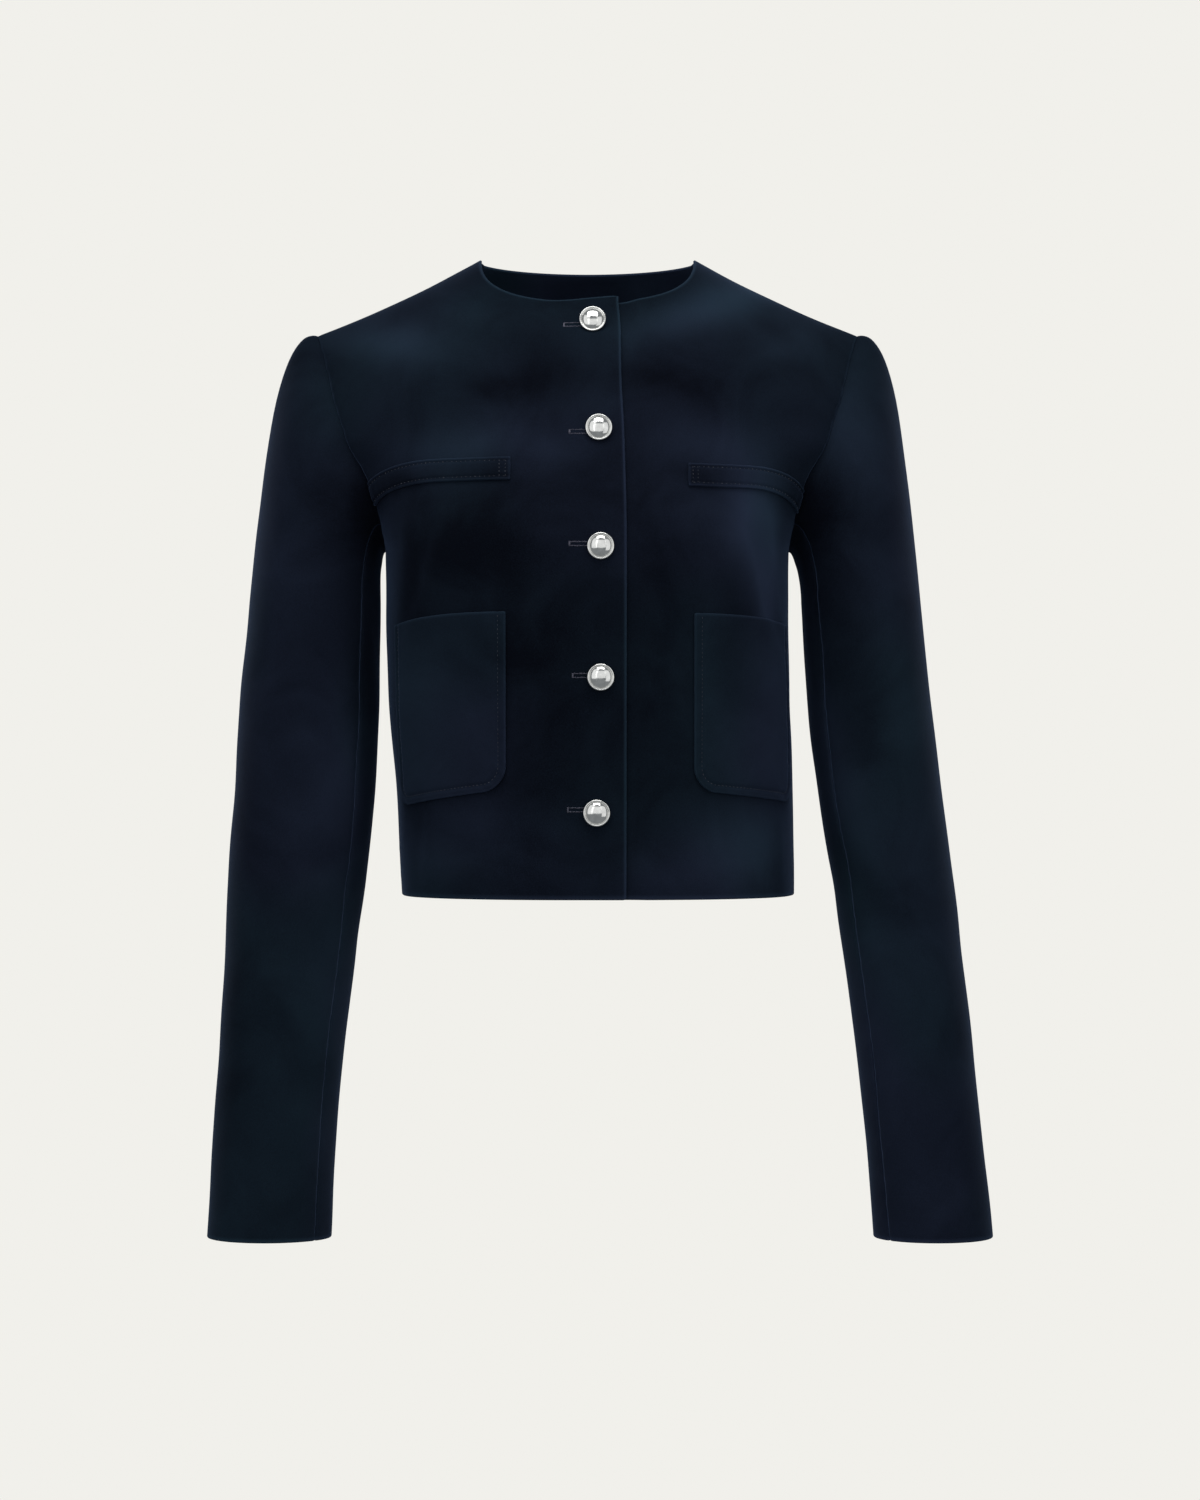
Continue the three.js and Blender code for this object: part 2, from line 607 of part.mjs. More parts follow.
// A patch pocket with a curved mouth and round lower corners.
function patchPocket(pocket) {
  const straight = POCKET_SIDE_ROWS.map((share) => ({ down: share * (POCKET_TALL - POCKET_CORNER), inset: 0 }));
  const corner = POCKET_CORNER_TURNS.map((turn) => ({
    down: POCKET_TALL - POCKET_CORNER * (1 - Math.sin(turn * DEGREE)),
    inset: POCKET_CORNER * (1 - Math.cos(turn * DEGREE)),
  }));
  const spots = [...straight, ...corner].map(({ down, inset }) =>
    POCKET_COLUMNS.map((share) => {
      const across = mix(inset, pocket.width - inset, share);
      const out = across / pocket.width;
      const drop = mix(pocket.fall * out * out, pocket.slant * out, down / POCKET_TALL);
      const z = pocket.top - down - drop;
      const start = spotAt(FRONT, pocket.hand * pocket.x, z);
      return { angle: walkRound(start.angle, start.height, pocket.hand * across), height: start.height };
    }),
  );
  return sewnOn(pocket.name, spots, POCKET_WALL);
}

// A welt on the chest, level at first and then curving down into the armhole seam.
function chestWelt(welt) {
  const rows = [WELT_TALL / 2, 0, -WELT_TALL / 2].map((up) =>
    Array.from({ length: WELT_STEPS + 1 }, (_, i) => {
      const share = i / WELT_STEPS;
      const past = Math.max(0, share - WELT_STRAIGHT) / (1 - WELT_STRAIGHT);
      const z = welt.z + up - welt.curve * past * past;
      const start = spotAt(FRONT, welt.hand * welt.x, z);
      const endZ = welt.z + up - welt.curve;
      const end = welt.hand * (along(FRONT_ARMHOLE, "angle", endZ) - WELT_STOP) * DEGREE;
      const angle = mix(start.angle, end, share);
      const out = bodyPoint(FRONT, angle, z).x - along(LEAN, "x", z);
      return { angle, height: heightAt(out, z) };
    }),
  );
  return sewnOn(welt.name, rows, WELT_WALL);
}

function button({ name, x, z, lift }) {
  const profile = BUTTON_PROFILE.map(({ out, up }) => new THREE.Vector2(out, up).multiplyScalar(BUTTON_RADIUS));
  const mesh = finishedMesh(name, new THREE.LatheGeometry(profile, BUTTON_SIDES), silver);
  const spot = spotAt(FRONT, x, z);
  const outward = bodyNormal(FRONT, spot.angle, spot.height);
  const facing = outward.clone().lerp(new THREE.Vector3(0, -1, 0), BUTTON_TURN).normalize();
  mesh.quaternion.setFromUnitVectors(new THREE.Vector3(0, 1, 0), facing);
  mesh.position.copy(bodyPoint(FRONT, spot.angle, spot.height, -lift));
  return mesh;
}

const jacket = new THREE.Group();
jacket.add(bodyPanel("front_right", FRONT, frontSpots(-1), () => 0, [0, SEAM_GAP / 2]));
jacket.add(bodyPanel("front_left", FRONT, frontSpots(1), lapInset, [0, SEAM_GAP / 2]));
jacket.add(bodyPanel("back", BACK, backSpots(), () => 0, [SEAM_GAP / 2, SEAM_GAP / 2]));
jacket.add(...sleevePieces(-1, "right"), ...sleevePieces(1, "left"));
jacket.add(...POCKETS.map(patchPocket), ...WELTS.map(chestWelt), ...BUTTONS.map(button));

export default jacket;
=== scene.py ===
# %% [markdown]
# # A cropped velvet jacket
# The jacket is hollow and keeps the shape of the person who would wear it. It is dark navy
# velvet: two fronts that lap over, a back, two-piece sleeves, patch pockets, chest welts and
# five silver buttons. The CAD model gives every size. Here each piece of cloth is drawn again
# as a thin shell on the same curves, finely enough to carry folds, seams and a soft pile.

# %% Open the frame
import math

import bpy
import numpy as np
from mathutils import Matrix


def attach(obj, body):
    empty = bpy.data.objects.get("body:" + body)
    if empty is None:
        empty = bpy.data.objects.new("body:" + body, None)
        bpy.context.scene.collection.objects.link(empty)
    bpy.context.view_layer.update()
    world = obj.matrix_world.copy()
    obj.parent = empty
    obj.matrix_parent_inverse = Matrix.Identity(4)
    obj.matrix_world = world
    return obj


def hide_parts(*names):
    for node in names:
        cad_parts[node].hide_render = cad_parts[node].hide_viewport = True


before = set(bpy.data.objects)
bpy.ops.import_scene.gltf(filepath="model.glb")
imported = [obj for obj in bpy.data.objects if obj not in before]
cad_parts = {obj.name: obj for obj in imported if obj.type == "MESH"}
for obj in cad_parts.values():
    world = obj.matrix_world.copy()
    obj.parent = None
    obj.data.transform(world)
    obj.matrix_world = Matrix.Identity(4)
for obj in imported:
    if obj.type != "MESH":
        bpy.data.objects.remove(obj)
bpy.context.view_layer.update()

MM = 0.001
DEGREE = math.pi / 180

# %% [markdown]
# ## Camera
# The photograph was taken level, from straight in front, with a long lens, so the hem and the
# cuffs are seen a little from above. The camera stands at waist height, 2.7 m away.

# %% Camera
CAMERA_PLACE = (0.0069, -2.7, -0.3367)
PICTURE_HEIGHT = 1500
FOCAL_PIXELS = 3913
SENSOR = 36

lens = bpy.data.cameras.new("camera")
lens.sensor_fit = "VERTICAL"
lens.sensor_height = SENSOR
lens.sensor_width = SENSOR
lens.lens = SENSOR * FOCAL_PIXELS / PICTURE_HEIGHT
camera = bpy.data.objects.new("camera", lens)
camera.location = CAMERA_PLACE
camera.rotation_euler = (math.pi / 2, 0, 0)
bpy.context.collection.objects.link(camera)
bpy.context.scene.camera = camera
print("lens", round(lens.lens, 1), "mm")

# %% [markdown]
# ## Curves through tables
# A dressmaker draws a pattern from a few measured points and a smooth line through them. The
# same is done here: each table holds a few heights, and `along` reads a smooth curve between
# them that never swings past a measured point. NumPy reads it at thousands of places at once.

# %% Smooth curves
def smoothstep(low, high, value):
    share = np.clip((value - low) / (high - low), 0, 1)
    return share * share * (3 - 2 * share)


def mix(a, b, share):
    return a + (b - a) * share


def bell(distance, wide):
    """1 at the middle of a line, fading to nothing on both sides of it."""
    return np.exp(-((distance / wide) ** 2))


def along(table, key, at, by="z"):
    """Reads a smooth curve through one column of a table."""
    place = np.array(table[by], float)
    value = np.array(table[key], float)
    if place[0] > place[-1]:
        place = place[::-1]
        value = value[::-1]
    rate = np.diff(value) / np.diff(place)
    both = rate[:-1] * rate[1:]
    total = np.where(both > 0, rate[:-1] + rate[1:], 1)
    slope = np.concatenate([rate[:1], np.where(both > 0, 2 * both / total, 0), rate[-1:]])
    at = np.clip(at, place[0], place[-1])
    i = np.clip(np.searchsorted(place, at, side="right") - 1, 0, len(place) - 2)
    step = place[i + 1] - place[i]
    t = (at - place[i]) / step
    bend = t * (1 - t) * ((1 - t) * slope[i] - t * slope[i + 1]) * step
    return mix(value[i], value[i + 1], smoothstep(0, 1, t)) + bend

# %% [markdown]
# ## The body's form
# The body is a stack of rounded, slightly squared ovals, front and back, in millimetres. The
# shoulder line cuts it off on top, and the cloth rounds over towards that line. The fronts have
# a little fullness over the bust.

# %% Tables of the body
HEM_Z = -435
ARMPIT_Z = -201
HEIGHTS = [-435, -360, -290, -240, -201, -186, -172, -150, -125, -90, -60, -33, 25]
ARMHOLE_HEIGHTS = [-201, -199.5, -196, -186, -172, -150, -125, -90, -66, -51]
PLACES = list(range(len(ARMHOLE_HEIGHTS)))

FRONT = {
    "y": -1,
    "z": HEIGHTS,
    "depth": [117, 121, 126, 129, 130, 129, 127, 122, 114, 100, 84, 68, 66],
    "half": [134.8, 136.3, 138, 138, 138.4, 143, 150, 168, 187, 194, 192, 190, 190],
    "square": [2.5, 2.55, 2.6, 2.65, 2.6, 2.4, 2.15, 1.85, 1.75, 1.7, 1.8, 1.9, 1.9],
    "armhole": {
        "place": PLACES,
        "z": ARMHOLE_HEIGHTS,
        "angle": [90, 84, 79, 74.5, 70.8, 66.6, 65.7, 69.6, 74, 78.5],
    },
}
BACK = {
    "y": 1,
    "z": HEIGHTS,
    "depth": [103, 101, 103.5, 108.5, 112, 113.2, 114, 114.8, 114, 109.5, 103, 97, 92],
    "half": [134.8, 136.3, 138, 138, 138.4, 145, 156, 176, 193, 196, 192, 190, 190],
    "square": [2.5, 2.55, 2.6, 2.65, 2.6, 2.4, 2.15, 1.85, 1.75, 1.75, 1.8, 1.9, 1.9],
    "armhole": {
        "place": PLACES,
        "z": ARMHOLE_HEIGHTS,
        "angle": [90, 84, 79.5, 75, 71.5, 66.5, 65.2, 69.2, 74, 78.5],
    },
}
LEAN = {"z": [-435, -360, -300, -235, 25], "x": [5.3, 3.1, -0.4, -1.9, -1.6]}

# %% Points of the body
ROWS_FOLLOW_SHOULDER_FROM = -150
SHOULDER_ROUND = 80
NECK_POINT_X = 76
SHOULDER_FALL = 0.555
SHOULDER_EASE = 0.00085
BUST = {"x": 82, "z": -188, "wide": 52, "tall": 60, "depth": 6}


def oval(angle, square):
    across = np.sin(angle)
    ahead = np.cos(angle)
    reach = (np.abs(across) ** square + np.abs(ahead) ** square) ** (-1 / square)
    return across * reach, ahead * reach


def oval_angle(share, square):
    kept = np.minimum(1, np.abs(share))
    return np.sign(share) * np.arctan2(kept, (1 - kept**square) ** (1 / square))


def shoulder_line(distance):
    out = np.abs(distance) - NECK_POINT_X
    slope = -(SHOULDER_FALL * out - SHOULDER_EASE * out * out)
    arch = SHOULDER_FALL * NECK_POINT_X * (1 - (distance / NECK_POINT_X) ** 2) / 2
    return np.where(out > 0, slope, arch)


def follows_shoulder(height):
    return smoothstep(ROWS_FOLLOW_SHOULDER_FROM, 0, height)


def body_point(half, angle, height):
    """Points of the body's outer face, by angle round it and height below the shoulder."""
    angle, height = np.broadcast_arrays(np.asarray(angle, float), np.asarray(height, float))
    low = -np.abs(height)
    z = low
    for _ in range(5):
        across, ahead = oval(angle, along(half, "square", z))
        out = along(half, "half", z) * across
        z = low + follows_shoulder(low) * shoulder_line(out)
    below = np.minimum(1, (shoulder_line(out) - z) / SHOULDER_ROUND)
    deep = along(half, "depth", z) * ahead * np.sqrt(np.maximum(0, 1 - (1 - below) ** 2))
    if half is FRONT:
        side = ((np.abs(out) - BUST["x"]) / BUST["wide"]) ** 2
        up = ((z - BUST["z"]) / BUST["tall"]) ** 2
        deep = deep + BUST["depth"] * ahead * np.exp(-side - up)
    beyond = np.where(height > 0, -1, 1)
    return np.stack([along(LEAN, "x", z) + out, half["y"] * beyond * deep, z], axis=-1)


def lifted(face, normal, by):
    """Points moved off a face by so many millimetres."""
    return face + normal * by[..., None]


def unit(vectors):
    return vectors / np.maximum(np.linalg.norm(vectors, axis=-1, keepdims=True), 1e-12)


def body_normal(half, angle, height):
    turn = 1e-3
    rise = 0.05
    across = body_point(half, angle + turn, height) - body_point(half, angle - turn, height)
    up = body_point(half, angle, height + rise) - body_point(half, angle, height - rise)
    return unit(np.cross(across, up)) * -half["y"]

# %% Places on the body
def height_at(out, z):
    """The height coordinate of places whose z and distance from the middle are known."""
    out, z = np.broadcast_arrays(np.asarray(out, float), np.asarray(z, float))
    line = shoulder_line(out)
    low = np.full(z.shape, 2.0 * HEM_Z)
    high = np.zeros(z.shape)
    for _ in range(40):
        middle = (low + high) / 2
        above = middle + follows_shoulder(middle) * line > z
        high = np.where(above, middle, high)
        low = np.where(above, low, middle)
    return (low + high) / 2


def spot_at(half, x, z):
    out = x - along(LEAN, "x", z)
    share = out / along(half, "half", z)
    return oval_angle(share, along(half, "square", z)), height_at(out, z)


def even_steps(half, curve, steps):
    """Spots of a curve at even steps of its length."""
    t = np.linspace(0, 1, 401)
    points = body_point(half, *curve(t))
    lengths = np.append(0, np.cumsum(np.linalg.norm(np.diff(points, axis=0), axis=1)))
    return curve(np.interp(np.linspace(0, lengths[-1], steps + 1), lengths, t))

# %% [markdown]
# ## The edges of the pattern pieces
# A front is bounded by its front edge and the neckline on one side, and by the side seam and
# the armhole on the other. The rows of the mesh run from one to the other. The rows and columns
# stand closer together near the edges, where seams and rolled edges need fine steps.

# %% Edges
SIDE_STEPS = 84
EDGE_STEPS = 48
NECK_STEPS = 64
ARMHOLE_STEPS = EDGE_STEPS + NECK_STEPS
LAP = 33
FRONT_EDGE = {
    "z": [-435, -200, -124, -86, -54, -31],
    "x": [23.4, 23.5, 22, 20.2, 19.8, 18.1],
}
NECK_HALF = 74
NECK_DROP = 35
NECK_SQUARE = 2.5
NECK_CORNER_RISE = 3.5


def side_heights():
    return np.linspace(HEM_Z, ARMPIT_Z, SIDE_STEPS + 1)[:-1]


def armhole(half, hand, steps=ARMHOLE_STEPS):
    def curve(share):
        place = share * PLACES[-1]
        z = along(half["armhole"], "z", place, "place")
        angle = along(half["armhole"], "angle", place, "place") * DEGREE
        across, _ = oval(angle, along(half, "square", z))
        out = along(half, "half", z) * across
        return hand * angle, np.where(share >= 1, 0, height_at(out, z))

    return even_steps(half, curve, steps)


def outer_edge(half, hand):
    angle, height = armhole(half, hand)
    seam = side_heights()
    return (
        np.append(np.full(seam.shape, hand * math.pi / 2), angle),
        np.append(seam, height),
    )


def edge_x(z, over):
    return along(FRONT_EDGE, "x", z) - (0 if over else LAP)


def front_inner_edge(hand):
    over = hand < 0

    def neck(turn):
        across, ahead = oval(turn, NECK_SQUARE)
        out = NECK_HALF * across
        rise = NECK_CORNER_RISE * smoothstep(-30, 20, out) if over else 0
        z = -NECK_DROP * ahead + rise
        return spot_at(FRONT, out + along(LEAN, "x", z), z)

    corner_out = edge_x(-NECK_DROP, over) - along(LEAN, "x", -NECK_DROP)
    corner_turn = oval_angle(corner_out / NECK_HALF, NECK_SQUARE)
    end_turn = hand * math.pi / 2
    angle, height = even_steps(FRONT, lambda t: neck(mix(corner_turn, end_turn, t)), NECK_STEPS)
    end_angle, _ = spot_at(FRONT, hand * NECK_POINT_X + along(LEAN, "x", 0), 0)
    angle[-1] = end_angle
    height[-1] = 0
    corner_z = body_point(FRONT, angle[0], height[0])[2]
    rising = np.linspace(ARMPIT_Z, corner_z, EDGE_STEPS + 1)[:-1]
    z = np.append(side_heights(), rising)
    edge_angle, edge_height = spot_at(FRONT, edge_x(z, over), z)
    return np.append(edge_angle, angle), np.append(edge_height, height)


def crowded(steps, crowd=0.62):
    """Shares from 0 to 1 that stand closer together at both ends."""
    t = np.linspace(0, 1, steps + 1)
    return t - crowd * np.sin(2 * math.pi * t) / (2 * math.pi)

# %% [markdown]
# ## Folds
# Velvet is heavy and soft, so its folds are wide and shallow. Each fold is listed one by one: where
# it lies, how it is tilted, how long, wide and deep it is. A fold has a soft ridge beside its
# trough, because the cloth that goes in on one side has to come out on the other. All folds
# differ, as on a real jacket. A cloth simulation would give a different jacket each time and
# lose the tailored shape, so it isn't used here.

# %% Folds and seams
RIDGE = 0.35
RIDGE_APART = 1.7
PUCKER_REACH = 7


def folds(across, up, laid):
    """Millimetres that the cloth moves out, from the listed folds."""
    move = np.zeros(np.broadcast(across, up).shape)
    for x, z, tilt, long, wide, depth, bend in laid:
        tilt = tilt * DEGREE
        length = (up - z) * math.cos(tilt) - (across - x) * math.sin(tilt)
        width = (up - z) * math.sin(tilt) + (across - x) * math.cos(tilt)
        width = width - bend * (length / long) ** 2
        fade = bell(length, long)
        trough = bell(width, wide)
        ridge = bell(width - RIDGE_APART * wide, wide)
        move -= depth * fade * (trough - RIDGE * ridge)
    return move


def waver(place, lengths, seed):
    """A gentle uneven wave along a line, from -1 to 1."""
    phase = np.random.default_rng(seed).uniform(0, 2 * math.pi, len(lengths))
    waves = [np.sin(2 * math.pi * place / length + p) for length, p in zip(lengths, phase)]
    return sum(waves) / len(lengths)


def seam_dip(distance, place, seed, depth=0.9, wide=1.7, pucker=0.25):
    """The groove of a seam, with small puckers along it."""
    groove = depth * bell(distance, wide)
    near = bell(distance, PUCKER_REACH)
    return -groove + pucker * near * waver(place, [9.5, 14.3, 23.1], seed)

# %% Drape of the cloth
def soft_swell(across, up, seed, size=0.5):
    """The slight unevenness of hanging cloth."""
    rng = np.random.default_rng(seed)
    total = 0
    for _ in range(9):
        turn = rng.uniform(0, math.pi)
        length = rng.uniform(38, 110)
        phase = rng.uniform(0, 2 * math.pi)
        run = across * math.cos(turn) + up * math.sin(turn)
        total = total + np.sin(2 * math.pi * run / length + phase) * length / 110
    return size * total / 3

# %% [markdown]
# ## The lie of the pile, and painted light
# A hand that strokes velvet leaves it lighter in one place and darker in the next, because the
# pile then leans another way. Such patches are listed one by one, like the folds, together with
# painted highlight, sheen and shade where the cloth catches or loses the light, and all are kept
# in an attribute of the mesh. A folded edge gets a thin light line: partly the pile standing
# open, partly a painted sheen.

# %% Patches of the pile and of painted light
def pile_and_painted_light_patches(across, up, laid):
    """How much lighter or darker the cloth is made, from listed soft patches: the lie of the pile, and
    painted highlight, sheen and shade.
    """
    tone = np.zeros(np.broadcast(across, up).shape)
    for x, z, wide, tall, tilt, amount in laid:
        tilt = tilt * DEGREE
        along_it = (across - x) * math.cos(tilt) + (up - z) * math.sin(tilt)
        over_it = (up - z) * math.cos(tilt) - (across - x) * math.sin(tilt)
        tone += amount * np.exp(-((along_it / wide) ** 2) - (over_it / tall) ** 2)
    return tone


def open_pile_and_painted_sheen(distance, amount=0.55, wide=0.7):
    """The light line along a folded edge: partly the pile standing open, partly a painted sheen."""
    return amount * bell(distance, wide)


# %% [markdown]
# ## A shell of cloth
# A piece of cloth has an outer face, an inner face and an edge. Blender's Solidify modifier
# makes a square edge, but a folded velvet edge is round and plump, so the rim is built here:
# a half circle from the outer face to the inner one. At a seam the rim stays flat.

# %% Shell
RIM_STEPS = 6
WALL = 2


def ring_of(rows, columns):
    """Grid places round the border of a sheet, in order."""
    bottom = [(0, c) for c in range(columns)]
    right = [(r, columns - 1) for r in range(1, rows)]
    top = [(rows - 1, c) for c in range(columns - 2, -1, -1)]
    left = [(r, 0) for r in range(rows - 2, 0, -1)]
    return np.array(bottom + right + top + left)


def rim_loops(outer, inner, plump):
    rows, columns = outer.shape[:2]
    ring = ring_of(rows, columns)
    top = outer[ring[:, 0], ring[:, 1]]
    under = inner[ring[:, 0], ring[:, 1]]
    centre = (top + under) / 2
    half = (top - under) / 2
    inside = np.stack([np.clip(ring[:, 0], 1, rows - 2), np.clip(ring[:, 1], 1, columns - 2)])
    body = (outer[inside[0], inside[1]] + inner[inside[0], inside[1]]) / 2
    tangent = np.roll(centre, -1, axis=0) - np.roll(centre, 1, axis=0)
    away = unit(np.cross(tangent, half))
    away *= np.sign(np.sum(away * (centre - body), axis=1, keepdims=True))
    reach = np.linalg.norm(half, axis=1, keepdims=True)
    side = np.zeros(len(ring))
    borders = ((0, 0), (0, rows - 1), (1, 0), (1, columns - 1))
    for (axis, border), share in zip(borders, plump):
        on_it = ring[:, axis] == border
        side[on_it] = np.maximum(side[on_it], share)
    loops = []
    for k in range(1, RIM_STEPS):
        turn = math.pi * k / RIM_STEPS
        bulge = away * reach * side[:, None] * math.sin(turn)
        loops.append(centre + half * math.cos(turn) + bulge)
    return ring, loops


def grid_faces(rows, columns, first, turned):
    r, c = np.meshgrid(np.arange(rows - 1), np.arange(columns - 1), indexing="ij")
    a = first + r * columns + c
    quads = np.stack([a, a + 1, a + columns + 1, a + columns], axis=-1).reshape(-1, 4)
    return quads[:, ::-1] if turned else quads


def new_mesh(name, points, faces, uv=None, nap_and_painted_light=None):
    """A mesh object from points in millimetres."""
    mesh = bpy.data.meshes.new(name)
    mesh.from_pydata((points * MM).tolist(), [], faces)
    mesh.polygons.foreach_set("use_smooth", np.ones(len(mesh.polygons), bool))
    if uv is not None:
        corners = np.empty(len(mesh.loops), np.int32)
        mesh.loops.foreach_get("vertex_index", corners)
        layer = mesh.uv_layers.new(name="cloth")
        layer.data.foreach_set("uv", (uv[corners] * MM).astype(np.float32).ravel())
    # the nap attribute holds the lie of the pile together with painted highlight, sheen and shade
    if nap_and_painted_light is not None:
        shade = mesh.attributes.new("nap_and_painted_light", "FLOAT", "POINT")
        shade.data.foreach_set("value", nap_and_painted_light.astype(np.float32))
    piece = bpy.data.objects.new(name, mesh)
    bpy.context.collection.objects.link(piece)
    return piece


def shell(name, outer, inner, plump, uv, nap_and_painted_light, inner_nap_and_painted_light=None):
    """A closed shell between two faces. plump is for the first and last row and column."""
    rows, columns = outer.shape[:2]
    ring, loops = rim_loops(outer, inner, plump)
    count = rows * columns
    points = [outer.reshape(-1, 3), inner.reshape(-1, 3), *loops]
    faces = [grid_faces(rows, columns, 0, False), grid_faces(rows, columns, count, True)]
    flat = ring[:, 0] * columns + ring[:, 1]
    chain = [flat]
    chain += [2 * count + k * len(ring) + np.arange(len(ring)) for k in range(len(loops))]
    chain += [flat + count]
    for one, two in zip(chain[:-1], chain[1:]):
        faces.append(np.stack([one, two, np.roll(two, -1), np.roll(one, -1)], axis=-1))
    points = np.concatenate(points)
    faces = np.concatenate(faces)
    flat_uv = uv.reshape(-1, 2)
    flat_nap_and_painted_light = nap_and_painted_light.reshape(-1)
    lining_nap_and_painted_light = flat_nap_and_painted_light if inner_nap_and_painted_light is None else inner_nap_and_painted_light.reshape(-1)
    uv = np.concatenate([flat_uv, flat_uv] + [flat_uv[flat]] * len(loops))
    nap_and_painted_light = np.concatenate([flat_nap_and_painted_light, lining_nap_and_painted_light] + [flat_nap_and_painted_light[flat]] * len(loops))
    corner = points[faces]
    volume = np.sum(corner[:, 0] * np.cross(corner[:, 1], corner[:, 2]))
    volume += np.sum(corner[:, 0] * np.cross(corner[:, 2], corner[:, 3]))
    if volume < 0:
        faces = faces[:, ::-1]
    piece = new_mesh(name, points, faces.tolist(), uv, nap_and_painted_light)
    area = sum(polygon.area for polygon in piece.data.polygons) / 2
    print(name, len(faces) * 2, "triangles, cloth area", round(area, 4), "m2")
    return piece


def ring_quads(first, sides):
    """Faces between a ring of points and the ring that follows it."""
    for k in range(sides):
        a = first + k
        b = first + (k + 1) % sides
        yield a, b, b + sides, a + sides


def lengths_along(points, axis):
    """Distance from the first row or column, along the other direction."""
    steps = np.linalg.norm(np.diff(points, axis=axis), axis=-1)
    zero = np.zeros_like(np.take(steps, [0], axis=axis))
    return np.concatenate([zero, np.cumsum(steps, axis=axis)], axis=axis)

# %% [markdown]
# ## The fronts
# Both fronts are cut the same way. The wearer's right front lies on top and ends at the front
# edge, and the left one goes on behind it, set in by its thickness and a little more.

# %% Fronts
LAP_STEP = 3.2
LAP_EASE = (4, 18)
EDGE_CALM = 16
SHOULDER_CALM = 9
SHOULDER_DIP = 0.5
SHOULDER_DIP_WIDE = 1.8
INSIDE_NAP = 0.2
FRONT_COLUMNS = 96
# across and up, tilt in degrees, length, width, depth and bend, all else in mm
FRONT_FOLDS = [
    (-118, -196, -34, 34, 9, 1.3, 4),
    (-126, -226, -22, 30, 8, 1.0, -3),
    (-96, -330, 8, 60, 13, 0.7, 5),
    (-60, -215, 62, 42, 15, 0.6, 6),
    (-30, -150, 74, 30, 12, 0.45, -4),
    (-128, -392, -9, 32, 6, 0.9, 2),
    (-88, -405, 5, 34, 12, 0.6, 3),
    (-40, -408, -4, 28, 13, 0.55, 2),
    (-102, -98, 30, 32, 14, 0.8, 5),
    (-62, -72, 58, 30, 12, 0.5, -4),
    (124, -206, 30, 36, 9, 1.4, -4),
    (134, -236, 24, 30, 7, 1.1, 3),
    (96, -322, -7, 62, 13, 0.7, -5),
    (56, -222, -60, 44, 15, 0.6, -6),
    (134, -388, 12, 34, 7, 1.0, -2),
    (92, -402, -6, 32, 12, 0.7, -3),
    (48, -410, 3, 28, 12, 0.5, 2),
    (106, -100, -32, 32, 14, 0.8, -5),
    (64, -76, -60, 30, 12, 0.5, 4),
    (44, -160, -70, 30, 13, 0.5, 4),
]
# across and up in mm, width and height in mm, tilt in degrees, lighter or darker
# Partly the lie of the pile, partly painted light: the lighter patches on the shoulders, under the
# chest welts, along the sides and at the hem are painted highlight and sheen, and the darker ones down
# the middle are painted shade, where the eye looks straight into the pile.
FRONT_PATCHES = [
    (-140, -62, 46, 16, -8, 0.45),
    (-92, -36, 26, 12, -24, 0.16),
    (-96, -138, 58, 15, 4, 0.34),
    (-30, -138, 26, 10, -20, 0.14),
    (-104, -204, 52, 24, 0, -0.2),
    (-34, -266, 50, 84, 6, -0.2),
    (-66, -96, 60, 13, 10, -0.16),
    (-122, -414, 34, 22, 0, 0.28),
    (-60, -384, 50, 14, -6, 0.1),
    (-134, -230, 12, 60, 4, -0.12),
    (94, -32, 56, 16, 22, 0.7),
    (150, -62, 26, 16, 26, 0.2),
    (58, -88, 64, 15, -6, -0.2),
    (92, -136, 50, 17, -5, 0.28),
    (46, -212, 50, 44, -10, -0.06),
    (124, -188, 26, 36, 14, 0.95),
    (136, -262, 15, 66, -2, 0.65),
    (112, -402, 42, 28, 10, 0.62),
    (36, -330, 34, 90, 0, -0.06),
    (64, -420, 40, 12, 0, 0.1),
]


def front_relief(across, up):
    return folds(across, up, FRONT_FOLDS) + soft_swell(across, up, 3, 0.35)


def lap_inset(points):
    past = points[..., 0] - along(FRONT_EDGE, "x", points[..., 2])
    return LAP_STEP * (1 - smoothstep(*LAP_EASE, past))


def shoulder_seam(move, top, sewn=1):
    """Calms the cloth towards the shoulder line, and dips it where it is sewn."""
    calm = move * smoothstep(0, SHOULDER_CALM, top)
    return calm - SHOULDER_DIP * bell(top, SHOULDER_DIP_WIDE) * sewn


